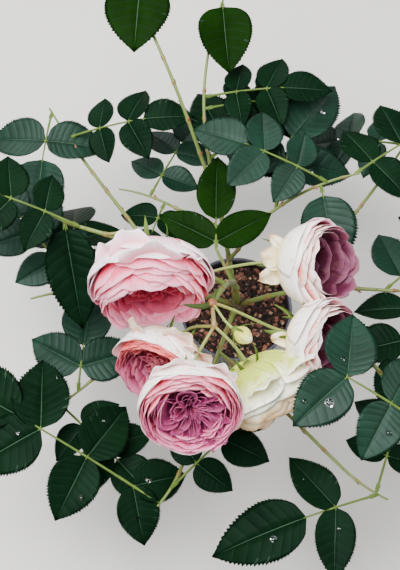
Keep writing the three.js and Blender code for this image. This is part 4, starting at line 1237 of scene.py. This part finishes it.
class ROSE_OT_stalks(bpy.types.Operator):
    """Grows the pale flower stalks of the cluster and the bracts at its node"""
    bl_idname = "rose.stalks"
    bl_label = "Flower stalks"

    def execute(self, context):
        cane = context.scene.rose_bush.cane
        skin = cane_skin("flower_stalk_skin", cane.stalk, cane.flush, 0.22)
        grown, sides, steps = plan(), 14, 40
        for name, line in grown["stalks"].items():
            node = name.replace("bloom", "stalk").replace("bud", "bud_stalk")
            slim = 0.8 if name == "bud" else 1

            def radius(share):
                return slim * (1.25 + 0.5 * math.exp(-share * 22) + 0.35 * math.exp(-(1 - share) * 14))

            shape = Shape()
            points, faces = tube(line, radius, sides, steps, True, skin_bumps, STALK_SEED + len(name))
            rows = np.append(np.repeat(np.linspace(0, 1, steps + 1), sides), (0, 1))
            shape.add(points, faces, 0, flush=0.9 * np.exp(-rows * 9))
            seat(shape.finish(f"{node}_skin", [skin]), "green_cane", node)
        shape = Shape()
        line = grown["lines"]["lower_stalk"]
        shape.add(*tube(line, lambda s: 1.7 + 0.9 * math.exp(-((s - 1) * 6) ** 2), 14, 24), 0, flush=0.55)
        seat(shape.finish("lower_stalk_skin", [skin]), "green_cane", "lower_stalk")
        bracts = Shape()
        node = grown["lines"]["flower_cane"].at(1)
        for reach, width in BRACTS:
            strip_blade(bracts, Line(node, node + np.array(reach) * (0.3, 0.9, 0.3), node + reach), width,
                        np.array((0, -0.4, 1)), 0, 12, 0.5, 0.7)
        seat(bracts.finish("bracts", [soft_green("bract_skin", cane.bract, 0.5)]), "green_cane")
        return {"FINISHED"}


# Leaves

def strip_blade(shape, line, width, normal, slot, rows=12, cup=0.25, tip_power=0.8):
    """A slender leafy strip along a line, such as a sepal, bract or stipule, closed all round."""
    points = []
    for i in range(rows + 1):
        share = i / rows
        along = line.along(share)
        side = unit(np.cross(normal, along))
        up = np.cross(along, side)
        half = width * max(0.03, math.sin(math.pi * min(1, 0.18 + 0.82 * share)) ** tip_power)
        for level, slim in ((0.12, 1), (-0.18, 0.98)):
            for across in (-1, 0, 1):
                points.append(line.at(share) + side * across * half * slim
                              + up * (abs(across) * cup * half + level))
    faces = []
    for i in range(rows):
        a, b = i * 6, (i + 1) * 6
        faces += [[a, b, b + 1, a + 1], [a + 1, b + 1, b + 2, a + 2], [a + 3, a + 4, b + 4, b + 3],
                  [a + 4, a + 5, b + 5, b + 4], [a + 3, b + 3, b, a], [a + 2, b + 2, b + 5, a + 5]]
    end = rows * 6
    faces += [[0, 1, 4, 3], [1, 2, 5, 4],
              [end + 3, end + 4, end + 1, end], [end + 4, end + 5, end + 2, end + 1]]
    shape.add(points, faces, slot)


class ROSE_OT_foliage(bpy.types.Operator):
    """Grows every compound leaf: toothed, veined leaflets on their stalks, with stipules"""
    bl_idname = "rose.foliage"
    bl_label = "Foliage"

    def execute(self, context):
        leaf_look = context.scene.rose_bush.leaf
        blades = {
            "deep": leaf_blade("old_leaf_wax", leaf_look.deep, 0.03, "#d9ffec"),
            "blue": leaf_blade("grown_leaf_wax", leaf_look.blue, 0.15, "#e8fffa"),
            "young": leaf_blade("young_leaf_wax", leaf_look.young, 0.018, "#e4ffdc"),
        }
        midrib = soft_green("leaf_midrib", leaf_look.midrib, 0.5)
        vein = soft_green("leaf_side_veins", leaf_look.vein, 0.5, 0.03)
        under = soft_green("leaf_underside", leaf_look.under, 0.7)
        stalk = soft_green("leaf_stalk_skin", leaf_look.petiole, 0.5)
        stalks = Shape()
        _, _, _, faces, slots = blade_pattern()
        slots = np.array(slots)
        for shoot in plan()["shoots"]:
            shape = Shape()
            for index, leaf in enumerate(shoot["leaves"]):
                numbers = stream(shoot["seed"] * 131 + index * 17 + 5)
                next(numbers)
                rachis, leaflets = leaflets_of(leaf)
                tone = leaf.get("tone") or ("deep" if next(numbers) < 0.55 else "blue")
                kind, relief = TONE_SLOTS[tone], YOUNG_RELIEF if tone == "young" else 1
                puff, teeth = leaf_look.puff * relief, leaf_look.teeth * relief
                for leaflet in leaflets:
                    points = blade_points(leaflet, puff, teeth, numbers)
                    shape.add(points, faces, np.where(slots == BLADE_SLOT, kind, slots).tolist())
                    foot = leaflet["root"]
                    joint = Line(foot, foot + leaflet["direction"] * 2.6 - leaflet["normal"] * 0.25)
                    stalks.add(*tube(joint, (0.75, 0.45), 8, 2))
                stalks.add(*tube(rachis, (1.15, 0.72), 9, 16, True, skin_bumps, index))
                self.stipules(stalks, rachis)
            materials = [blades["deep"], midrib, under, blades["blue"], blades["young"], vein]
            seat(shape.finish(shoot["name"] + "_leaves", materials), "foliage", shoot["name"])
        seat(stalks.finish("leaf_stalks", [stalk]), "foliage")
        return {"FINISHED"}

    @staticmethod
    def stipules(shape, rachis):
        """The pair of green wings at the foot of a leaf stalk."""
        along, start = rachis.along(0.05), rachis.at(0)
        side = unit(np.cross(along, (0, 0, 1)))
        up = np.cross(side, along)
        for hand in (-1, 1):
            wing = Line(start + side * hand * 0.7, start + along * 5 + side * hand * 1.0,
                        start + along * 8.5 + side * hand * 1.8 + up * 0.4)
            strip_blade(shape, wing, 0.6, up, 0, 8)


# Blooms

# Each row of petals is given by the radius and height of its lips, as shares of the bloom's own.
# The outer rows step up to the mouth and the inner ones step down into the hollow.
OUTER_WIDTH = 0.18
MOUTH = 0.84
HEART = 0.46
FOOT = 0.1
GUARD_ROWS = 2

# The rows behind the guard petals are narrower by this share, so that they don't show through.
ROW_INSET = 0.022

# The kinds of petals, with the place of their middle colour between foot and lip, and how far
# their spots show. Petals of old blooms are more spotted.
PETAL_KINDS = (("guard", 0.7, 0.8), ("row", 0.85, 0.2), ("heart", 0.82, 0.15), ("loose", 0.72, 1))
PETAL_AGE = dict(blush=0.12, coral=0.55, mauve=0.6, quartered=0.45, cream=0.75)
GUARD, ROW, HEART_FOLD, LOOSE = range(4)

# Colours of the guard, row, heart and loose petals of each kind of bloom: first the outer side
# from foot to lip, then the inner side. The deep feet, the darker inner sides and the dark hearts are
# partly the petals' own colour and partly painted shade, which stands for the shade between the rows
# and in the hollow of the cup.
PETAL_TINTS = {
    "blush": ((("#f092a4", "#f9c4d2", "#fdeef4"), ("#e4566a", "#f48ca2", "#fcd9e6")),
              (("#e23e5e", "#ee5e7c", "#f9a8bc"), ("#c63054", "#e4587c", "#f6a0bc")),
              (("#9c1834", "#c83858", "#ee90a8"), ("#70081c", "#b02448", "#d05c80")),
              (("#f4b0bc", "#f9dce4", "#fdf0f4"), ("#f2a0ae", "#f8ccd6", "#fdeaf0"))),
    "coral": ((("#f0c090", "#fbe8e0", "#fdf6f4"), ("#c85c6c", "#e896a4", "#f8dce2")),
              (("#b81018", "#cc2026", "#ee6c6a"), ("#6c1028", "#90304f", "#bc6080")),
              (("#981428", "#b83040", "#dc8088"), ("#5c0c1c", "#8c2c44", "#c06878")),
              (("#e0bc80", "#f2dfc4", "#c8a070"), ("#f0b8a8", "#f6e2d6", "#d4ae80"))),
    # Painted shade: the near black inner sides of the mauve rows and the heart stand for the deep shade in
    # the hollow of the cup, over the petals' own dark mauve.
    "mauve": ((("#f0d8a4", "#fcf0e6", "#fdf8f4"), ("#8c3450", "#c87090", "#efc8d6")),
              (("#cc4434", "#ec8c7c", "#fce4de"), ("#1c040c", "#501830", "#744058")),
              (("#30061a", "#541a34", "#74304e"), ("#180512", "#401028", "#58203a")),
              (("#dccc90", "#f4e8cc", "#d49c60"), ("#e4d49c", "#f6ead0", "#cc8c50"))),
    "quartered": ((("#eecf9e", "#fbece2", "#fdf7f3"), ("#c04c60", "#e08c9c", "#f8dce2")),
                  (("#c02838", "#d84458", "#ec90a4"), ("#780c28", "#a82c50", "#d8749c")),
                  (("#6c1034", "#983058", "#b05c84"), ("#581030", "#8a2854", "#a85080")),
                  (("#eecf9e", "#fbf0e8", "#fdf7f3"), ("#f0b4b4", "#f8dcdc", "#fcf0ee"))),
    "cream": ((("#b4c04c", "#f2eec8", "#fdf9e8"), ("#e0d8a0", "#f4ecd0", "#fcf6e6")),
              (("#c8b468", "#f2e8c8", "#cc9c6c"), ("#d0b870", "#f0e2b4", "#deb084")),
              (("#b89c58", "#e8d498", "#f0dcb4"), ("#a08040", "#dcc080", "#ecd0a0")),
              (("#b4c04c", "#f6f0d4", "#fdf8ea"), ("#d8d488", "#f6f0d8", "#ecd4ac"))),
}


@functools.lru_cache(maxsize=None)
def sheet_faces(long, wide, crossed=False):
    """Faces of a thin petal: its inner and outer sides and the edge that joins them.

    The quads of the two sides are split along the same diagonal, or along crossing ones.
    """
    cols, half = wide + 1, (wide + 1) * (long + 1)
    faces = []
    for i in range(long):
        for j in range(wide):
            a = i * cols + j
            far = [half + a, half + a + cols, half + a + cols + 1, half + a + 1]
            faces += [[a, a + 1, a + cols + 1, a + cols], far[1:] + far[:1] if crossed else far]
    for j in range(wide):
        top = long * cols + j
        faces += [[top, top + 1, half + top + 1, half + top], [half + j, half + j + 1, j + 1, j]]
    for i in range(long):
        left, right = i * cols, i * cols + wide
        faces += [[left, left + cols, half + left + cols, half + left],
                  [half + right, half + right + cols, right + cols, right]]
    return faces


def add_sheet(shape, grid, thickness, slot, turn, back):
    """Adds a petal given by a grid of points, foot first, with its colours' place on it."""
    along, across = np.gradient(grid, axis=0), np.gradient(grid, axis=1)
    normal = np.cross(across, along)
    normal /= np.maximum(np.linalg.norm(normal, axis=-1, keepdims=True), 1e-9)
    long, wide = grid.shape[0] - 1, grid.shape[1] - 1
    s, w = np.linspace(0, 1, long + 1)[:, None], np.linspace(-1, 1, wide + 1)[None, :]
    outer = grid - normal * thickness * (1 - 0.6 * s[..., None] ** 3)
    points = np.vstack([grid.reshape(-1, 3), outer.reshape(-1, 3)]) @ turn.T + back
    reach = np.tile((s * (1 - 0.06 * w * w)).reshape(-1), 2)
    span = np.linalg.norm(grid[long // 2 + 1, -1] - grid[long // 2 + 1, 0]) / 3
    width = np.tile((w + 0 * s).reshape(-1), 2) * span
    inner = np.repeat((0.0, 1.0), grid[..., 0].size)
    shape.add(points, sheet_faces(long, wide), slot, reach=reach, across=width,
              petal=shape.count * 0.37, inner=inner)


def ragged(w, numbers, size):
    """Uneven notches along a petal's lip, as shares of its length."""
    first, second = FULL_TURN * next(numbers), FULL_TURN * next(numbers)
    return size * (np.sin(7.3 * w + first) + 0.7 * np.sin(16.1 * w + second))


def heart_shift(bloom):
    """How far the heart sits off the axis of its bloom."""
    azimuth, share = bloom["off"]
    return heading(azimuth, 0) * share * bloom["radius"]


def lowered(bloom, angle, share=1):
    """What is left of the depth at an azimuth, where the mouth leans. "share" is 0 on the axis."""
    low, sink = bloom["mouth"]
    return 1 - sink * (1 + share * np.cos(angle - math.radians(low))) / 2


def bowl_petal(bloom, form, numbers, ruffle):
    """A petal wrapped round the bloom's axis, from the calyx up to its own lip."""
    radius, depth = bloom["radius"], bloom["radius"] * bloom["depth"]
    wide, long = form["grid"]
    w, s = np.linspace(-1, 1, wide + 1)[None, :], np.linspace(0, 1, long + 1)[:, None]
    phase, count = FULL_TURN * next(numbers), 0.7 + 1.2 * next(numbers)
    dent = form["dent"] * np.exp(-((w - 0.4 * (next(numbers) - 0.5)) / 0.22) ** 2)
    lip = 1 - form["round"] * np.abs(w) ** 2.6 - dent + form["tilt"] * w + ragged(w, numbers, form["fray"])
    climb = s * lip
    spread = math.radians(form["spread"])
    angle = math.radians(form["azimuth"]) + spread * w * (0.5 + 0.5 * s ** 0.6)
    level = form["height"] * lowered(bloom, angle)
    wave = ruffle * radius * form["frill"] * s ** 3 * np.sin(count * math.pi * w + phase)
    flare = form["flare"] * bloom["fan"] * radius * np.clip((climb - 0.55) / 0.45, 0, 1) ** 2
    out = form["rim"] * radius * np.sin(math.pi / 2 * climb.clip(0, 1) ** bloom["swell"]) * (1 + 0.035 * w)
    out = out + FOOT * radius * (1 - climb) + flare + wave
    up = level * depth * (0.03 + 0.97 * climb ** 1.2) - np.abs(flare) * 0.5 + wave * 0.5
    grid = np.stack([out * np.cos(angle), out * np.sin(angle), up], axis=-1)
    return grid + heart_shift(bloom) * np.clip((1 - form["rim"]) / (1 - HEART), 0, 1) * climb[..., None]


def fold_petal(bloom, form, numbers, ruffle):
    """A folded petal of the heart: its lip runs out, round and back, like a nested U."""
    radius, depth = bloom["radius"], bloom["radius"] * bloom["depth"]
    wide, long = 24, 6
    bend = np.linspace(-1, 1, wide + 1)[None, :] * math.radians(104 + 34 * next(numbers))
    s = np.linspace(0, 1, long + 1)[:, None]
    phase, skew = FULL_TURN * next(numbers), 0.9 * (next(numbers) - 0.5)
    reach = form["size"] * form["far"]
    away = 0.05 + reach * (1 + np.cos(bend + skew * 0.7)) / 2
    aside = form["half"] * form["size"] * np.sin(bend) * (0.3 + 0.7 * away / (reach + 0.05))
    aside = aside * (1 + skew * np.sin(bend))
    wave = (ruffle * (0.9 * np.sin(2.3 * bend + phase) + 0.6 * np.sin(6.1 * bend + 2 * phase)) * s ** 2
            + ragged(bend, numbers, 0.006) * s ** 4)
    away = away * (0.52 + 0.48 * s) + wave
    aside = aside * (0.45 + 0.55 * s ** 0.8)
    share = np.clip(np.hypot(away, aside) / form["far"], 0, 1)
    place = np.hypot(away, aside)
    lip = form["floor"] - form["eye"] * (1 - share) ** 2 + (1 - form["floor"]) * place ** 4 + form["lift"]
    angle = math.radians(form["azimuth"]) + np.arctan2(aside, away) + form["swirl"] * (1 - share)
    out = place * radius
    up = lip * lowered(bloom, angle, place) * depth - (1 - s) ** 1.3 * 0.2 * radius + wave * radius * 0.6
    return np.stack([out * np.cos(angle), out * np.sin(angle), up], axis=-1) + heart_shift(bloom)


def core_sheet(bloom):
    """The dense foot of the heart, which closes the bloom under its folds."""
    radius, depth = bloom["radius"], bloom["radius"] * bloom["depth"]
    share, turn = np.linspace(0.02, 1, 8)[:, None], np.linspace(0, FULL_TURN, 25)[None, ::-1]
    wide = share * (0.74 - bloom["off"][1])
    out = wide * radius + 0 * turn
    up = (bloom["floor"] - bloom["eye"] - 0.14 + 0.1 * share ** 2) * lowered(bloom, turn, wide) * depth
    return np.stack([out * np.cos(turn), out * np.sin(turn), up], axis=-1) + heart_shift(bloom)


def loose_petal(bloom, form, numbers, ruffle):
    """A guard petal that hangs free: azimuth, foot, lean from the axis, length, width and bend."""
    azimuth, low, rim, lean, long, width, bend = form
    radius, depth = bloom["radius"], bloom["radius"] * bloom["depth"]
    w, s = np.linspace(-1, 1, 19)[None, :], np.linspace(0, 1, 13)[:, None]
    out, axis = heading(azimuth, 0), np.array((0.0, 0.0, 1.0))
    side, lean = np.cross(axis, out), math.radians(lean)
    along = axis * math.cos(lean) + out * math.sin(lean)
    inner = axis * math.sin(lean) - out * math.cos(lean)
    foot = out * rim * radius + axis * low * depth
    phase, tilt = FULL_TURN * next(numbers), 0.3 * (next(numbers) - 0.5)
    climb = s * (1 - 0.4 * np.abs(w) ** 2.2 + tilt * w + ragged(w, numbers, 0.022))
    half = width * radius * np.sin(math.pi * (0.14 + 0.56 * s)) ** 0.8
    wave = ruffle * radius * (2.2 * s ** 2 * np.sin(1.7 * math.pi * w + phase))
    rise = 0.5 * half * w * w * (1 - 0.7 * s) - bend * radius * climb ** 2 + wave
    return (foot + along * (climb * long * radius)[..., None] + side * (half * w)[..., None]
            + inner * rise[..., None])


def bloom_petals(bloom, look):
    """Every petal of a bloom as its kind and grid, from the guard petals to the heart."""
    numbers = stream(int(bloom["radius"] * 71 + abs(bloom["centre"][0]) * 13))
    for _ in range(5):
        next(numbers)
    first, floor, pleats = bloom["first"], bloom["floor"], bloom["pleats"]
    petals = [(LOOSE, loose_petal(bloom, form, numbers, look.ruffle)) for form in bloom["loose"]]
    for row in range(bloom["rows"]):
        share, guard = row / (bloom["rows"] - 1), row < GUARD_ROWS
        rim = bloom["girth"] * (1 - OUTER_WIDTH * share ** 1.15 - (0 if guard else ROW_INSET))
        lip = first + (1 - first) * share ** 0.8
        count = 5 if guard else 7
        for i in range(count):
            lean, drift = next(numbers) - 0.5, next(numbers) - 0.5
            form = dict(azimuth=360 * (i + 0.5 * (row % 2) + 0.6 * lean) / count,
                        spread=50 if guard else 33 + 12 * next(numbers), grid=(18, 10),
                        rim=rim * (1 + 0.02 * (next(numbers) - 0.5)),
                        height=lip + (0.05 if guard else 0.11) * drift,
                        round=0.26 if guard else 0.16 + 0.14 * next(numbers),
                        tilt=(0.06 if guard else 0.16) * (next(numbers) - 0.5),
                        dent=0.1 * (next(numbers) - 0.35), fray=0.004 if guard else 0.009,
                        frill=1.1, flare=(0.07 * (1 - share) + 0.015) * (0.2 + 1.2 * next(numbers)))
            petals.append((GUARD if guard else ROW, bowl_petal(bloom, form, numbers, look.ruffle)))
    for row in range(bloom["inner"]):
        share = (row + 1) / (bloom["inner"] + 1)
        rim, lip = MOUTH - (MOUTH - HEART) * share, 1 - (1 - floor) * share ** 1.3
        kind = ROW if row < bloom["pale"] else HEART_FOLD
        for i in range(pleats):
            lean = next(numbers) - 0.5
            form = dict(azimuth=360 * (i + 0.5 * (row % 2) + 0.8 * lean) / pleats, grid=(14, 8),
                        spread=(180 + 200 * next(numbers)) / pleats, rim=rim * (1 + 0.06 * lean),
                        height=lip + 0.12 * (next(numbers) - 0.5), round=0.14, tilt=0.16 * lean,
                        dent=0.08 * (next(numbers) - 0.4), fray=0.008, frill=0.6, flare=0.03)
            petals.append((kind, bowl_petal(bloom, form, numbers, look.ruffle)))
    for azimuth, half, far, folds in bloom["quarters"]:
        for fold in range(folds):
            form = dict(azimuth=azimuth + 22 * (next(numbers) - 0.5),
                        size=(fold + 0.35 + 0.65 * next(numbers)) / folds, half=half, far=far, floor=floor,
                        eye=bloom["eye"], lift=0.06 * (next(numbers) - 0.5), swirl=bloom["swirl"])
            petals.append((HEART_FOLD, fold_petal(bloom, form, numbers, look.ruffle)))
    petals.append((HEART_FOLD, core_sheet(bloom)))
    return petals


class ROSE_OT_blooms(bpy.types.Operator):
    """Opens the six cupped blooms, each with guard petals, rows of petals and a folded heart"""
    bl_idname = "rose.blooms"
    bl_label = "Blooms"

    def execute(self, context):
        look = context.scene.rose_bush.bloom
        leaf_look = context.scene.rose_bush.leaf
        calyx = soft_green("calyx_green", leaf_look.petiole, 0.5)
        sets = {hue: [petal_velvet(f"{hue}_{kind}_petals", *tints, place, PETAL_AGE[hue] * share)
                      for (kind, place, share), tints in zip(PETAL_KINDS, kinds)]
                for hue, kinds in PETAL_TINTS.items()}
        sepals = Shape()
        for bloom in BLOOMS:
            turn, back = turn_of(bloom), back_of(bloom)
            shape = Shape()
            for kind, grid in bloom_petals(bloom, look):
                add_sheet(shape, grid, look.thickness / MM, kind, turn, back)
            seat(shape.finish(bloom["name"] + "_petals", sets[bloom["hue"]]), bloom["slot"], bloom["name"])
            self.calyx(sepals, bloom, turn, back)
        seat(sepals.finish("calyces", [calyx]), "foliage")
        return {"FINISHED"}

    @staticmethod
    def calyx(shape, bloom, turn, back):
        """The green hip under the flower and its five long sepals, bent back along the stalk."""
        size, (width, first, long) = bloom["radius"] / 40, bloom["sepal"]
        axis = turn[:, 2]
        hip = Line(back - axis * 0.2, back + axis * 9 * size)

        def radius(share):
            return size * (1.7 + 3.4 * math.sin(math.pi * min(1, share * 1.1) * 0.8) ** 1.2)

        shape.add(*tube(hip, radius, 16, 10))
        for i in range(5):
            out = turn @ heading(first + 72 * i, 0)
            foot = back + axis * 6 * size + out * 4 * size
            reach = size * long
            sepal = Line(foot, foot + (out * 8 - axis * 2) * reach, foot + (out * 12 - axis * 8) * reach,
                         foot + (out * (10 + 4 * (i % 2)) - axis * 17) * reach)
            strip_blade(shape, sepal, width * size, axis + out, 0, 14, 0.3, 0.9)


class ROSE_OT_bud(bpy.types.Operator):
    """Wraps the closed bud in its petals and sepals"""
    bl_idname = "rose.bud"
    bl_label = "Bud"

    def execute(self, context):
        leaf_look = context.scene.rose_bush.leaf
        skin = petal_velvet("bud_petals", *[("#b8b848", "#e4dc7c", "#f6eeb4")] * 2)
        green = soft_green("bud_sepals", leaf_look.petiole, 0.5)
        turn, back, radius = turn_of(BUD), back_of(BUD), BUD["radius"]
        axis, rows, columns = turn[:, 2], 14, 12
        shape = Shape()
        for i in range(4):
            points, reach = [], []
            for share in np.linspace(0, 1, rows + 1):
                bulge = radius * (0.92 + 0.05 * (i % 2)) * math.sin(math.pi * (0.12 + 0.86 * share)) ** 0.75
                for w in np.linspace(-1, 1, columns + 1):
                    a = i * FULL_TURN / 4 + w * 1.15 + 0.9 * share
                    wrap = 1 + 0.06 * w
                    points.append((bulge * wrap * math.cos(a), bulge * wrap * math.sin(a),
                                   radius * (0.45 + 2.2 * share) * (1 - 0.03 * w * w)))
                    reach.append(share)
            both = np.vstack([points, np.array(points) * (0.93, 0.93, 0.99)])
            faces = sheet_faces(rows, columns, crossed=True)
            shape.add(both @ turn.T + back, faces, 0, reach=np.tile(reach, 2))
        hip = Line(back - axis * 0.2, back + axis * 5)
        shape.add(*tube(hip, lambda s: 1.4 + 2.6 * math.sin(math.pi * min(1, s) * 0.75), 14, 8), 1)
        for i in range(5):
            a = FULL_TURN * i / 5
            out = turn @ np.array((math.cos(a), math.sin(a), 0))
            foot = back + axis * 3.2 + out * 2.6
            sepal = Line(foot, foot + out * 5.2 + axis * 2, foot + out * 6.6 + axis * 6,
                         foot + out * (8 + 2 * (i % 2)) + axis * 9)
            strip_blade(shape, sepal, 1.1, -out, 1, 10, 0.2, 0.9)
        seat(shape.finish("bud_wrapped", [skin, green]), "bud_scales", "bud")
        return {"FINISHED"}


class ROSE_OT_dew(bpy.types.Operator):
    """Lays rain drops on some of the leaflets that face up"""
    bl_idname = "rose.dew"
    bl_label = "Rain drops"

    def execute(self, context):
        shape = Shape()
        numbers = stream(DROP_SEED)
        for shoot in plan()["shoots"]:
            if shoot["name"] in WET_SHOOTS:
                for leaflet in leaflets_of(shoot["leaves"][0])[1]:
                    along, across = 0.25 + 0.5 * next(numbers), 1.1 * (next(numbers) - 0.5)
                    self.drop(shape, along, across, leaflet, 1.3 + 1.6 * next(numbers))
            if shoot["name"] == BIG_DROP["shoot"]:
                leaflet = leaflets_of(shoot["leaves"][0])[1][BIG_DROP["leaflet"]]
                self.drop(shape, BIG_DROP["along"], BIG_DROP["across"], leaflet, BIG_DROP["radius"])
        seat(shape.finish("rain_drops", [water("rain_water")]), "foliage")
        return {"FINISHED"}

    @staticmethod
    def drop(shape, along, across, leaflet, radius):
        """A flattened dome of water that lies on a leaflet."""
        spot, normal = blade_point(leaflet, along, across), leaflet["normal"]
        points, sides, rings, height = [], 14, 5, radius * DROP_HEIGHT
        for ring in range(rings):
            a = math.pi / 2 * ring / rings
            for b in np.arange(sides) * FULL_TURN / sides:
                out = leaflet["direction"] * math.cos(b) + leaflet["side"] * math.sin(b)
                points.append(spot + out * radius * math.cos(a)
                              + normal * (height * math.sin(a) + DROP_LIFT))
        points += [spot + normal * (height + DROP_LIFT), spot + normal * DROP_LIFT / 2]
        last, top = (rings - 1) * sides, rings * sides
        faces = ring_faces(rings, sides)
        faces += [[last + j, last + (j + 1) % sides, top] for j in range(sides)]
        faces += [[(j + 1) % sides, j, top + 1] for j in range(sides)]
        shape.add(points, faces)


# Stage, in metres: half the floor's side, how far it lies below the pot, the camera's aim at the
# middle of the cluster, its sensor and the range it sees, and each soft light's place, side and
# power. The lights aim at the middle of the plant.
FLOOR_HALF = 6
FLOOR_DROP = 0.00005
SENSOR_MM = 36
SEEN_RANGE = (0.01, 50)
CLUSTER_MIDDLE = (-0.034, -0.047, 0.25)
PLANT_MIDDLE = (0, 0, 0.18)
PANELS = (("sky_panel", (-0.45, -0.05, 1.6), 1.2, 82), ("side_panel", (1.4, -0.2, 1.1), 0.9, 20),
          ("back_panel", (-0.6, 1.5, 1.0), 1.0, 20))
SKY_COLOUR = (0.86, 0.92, 1.0, 1.0)
SKY_STRENGTH = 0.32


def aim(thing, place, direction):
    """Puts a camera or a light in its place and turns it to look in a direction."""
    thing.location = place
    thing.rotation_mode = "QUATERNION"
    thing.rotation_quaternion = direction.to_track_quat("-Z", "Y")


class ROSE_OT_stage(bpy.types.Operator):
    """Sets the pale floor, the soft lights and the camera that looks down on the cluster"""
    bl_idname = "rose.stage"
    bl_label = "Stage"

    def execute(self, context):
        stage = context.scene.rose_bush.stage
        ground, half = Shape(), FLOOR_HALF / MM
        ground.add([(x * half, y * half, -FLOOR_DROP / MM) for x, y in SQUARE], [[0, 1, 2, 3]])
        paint = finish_material(new_material("pale_floor")[0],
                                {"Base Color": stage.floor, "Roughness": 0.7})
        ground.finish("floor", [paint])
        back = Vector((0, -math.cos(stage.elevation), math.sin(stage.elevation)))
        data = bpy.data.cameras.new("view")
        data.lens, data.sensor_width = stage.lens, SENSOR_MM
        data.clip_start, data.clip_end = SEEN_RANGE
        camera = add_object("view", data)
        aim(camera, Vector(CLUSTER_MIDDLE) + back * stage.distance, -back)
        context.scene.camera = camera
        for name, spot, size, power in PANELS:
            light = bpy.data.lights.new(name, "AREA")
            light.energy, light.size = power, size
            aim(add_object(name, light), spot, Vector(PLANT_MIDDLE) - Vector(spot))
        world = bpy.data.worlds.new("studio")
        world.use_nodes = True
        sky = world.node_tree.nodes["Background"].inputs
        sky["Color"].default_value = SKY_COLOUR
        sky["Strength"].default_value = SKY_STRENGTH
        context.scene.world = world
        return {"FINISHED"}


class ROSE_PT_bush(bpy.types.Panel):
    """Lists the steps that grow the bush, with their settings"""
    bl_idname = "ROSE_PT_bush"
    bl_label = "Rose bush"
    bl_space_type = "VIEW_3D"
    bl_region_type = "UI"
    bl_category = "Rose bush"

    def draw(self, context):
        settings = context.scene.rose_bush
        for operator in OPERATORS:
            self.layout.operator(operator.bl_idname)
        for group in (settings.pot, settings.grit, settings.cane, settings.leaf, settings.bloom,
                      settings.stage):
            box = self.layout.box()
            for key in group.bl_rna.properties.keys():
                if key not in ("rna_type", "name"):
                    box.prop(group, key)


GROUPS = (RosePotSettings, RoseGritSettings, RoseCaneSettings, RoseLeafSettings, RoseBloomSettings,
          RoseStageSettings, RoseBushSettings)
OPERATORS = (ROSE_OT_stage, ROSE_OT_pot, ROSE_OT_grit, ROSE_OT_woody_base, ROSE_OT_canes, ROSE_OT_stalks,
             ROSE_OT_foliage, ROSE_OT_blooms, ROSE_OT_bud, ROSE_OT_dew)


def register():
    for item in (*GROUPS, *OPERATORS, ROSE_PT_bush):
        bpy.utils.register_class(item)
    bpy.types.Scene.rose_bush = PointerProperty(type=RoseBushSettings)


def unregister():
    del bpy.types.Scene.rose_bush
    for item in reversed((*GROUPS, *OPERATORS, ROSE_PT_bush)):
        bpy.utils.unregister_class(item)


def main():
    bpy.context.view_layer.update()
    register()
    for operator in OPERATORS:
        getattr(bpy.ops.rose, operator.bl_idname.removeprefix("rose."))()


if __name__ == "__main__":
    main()
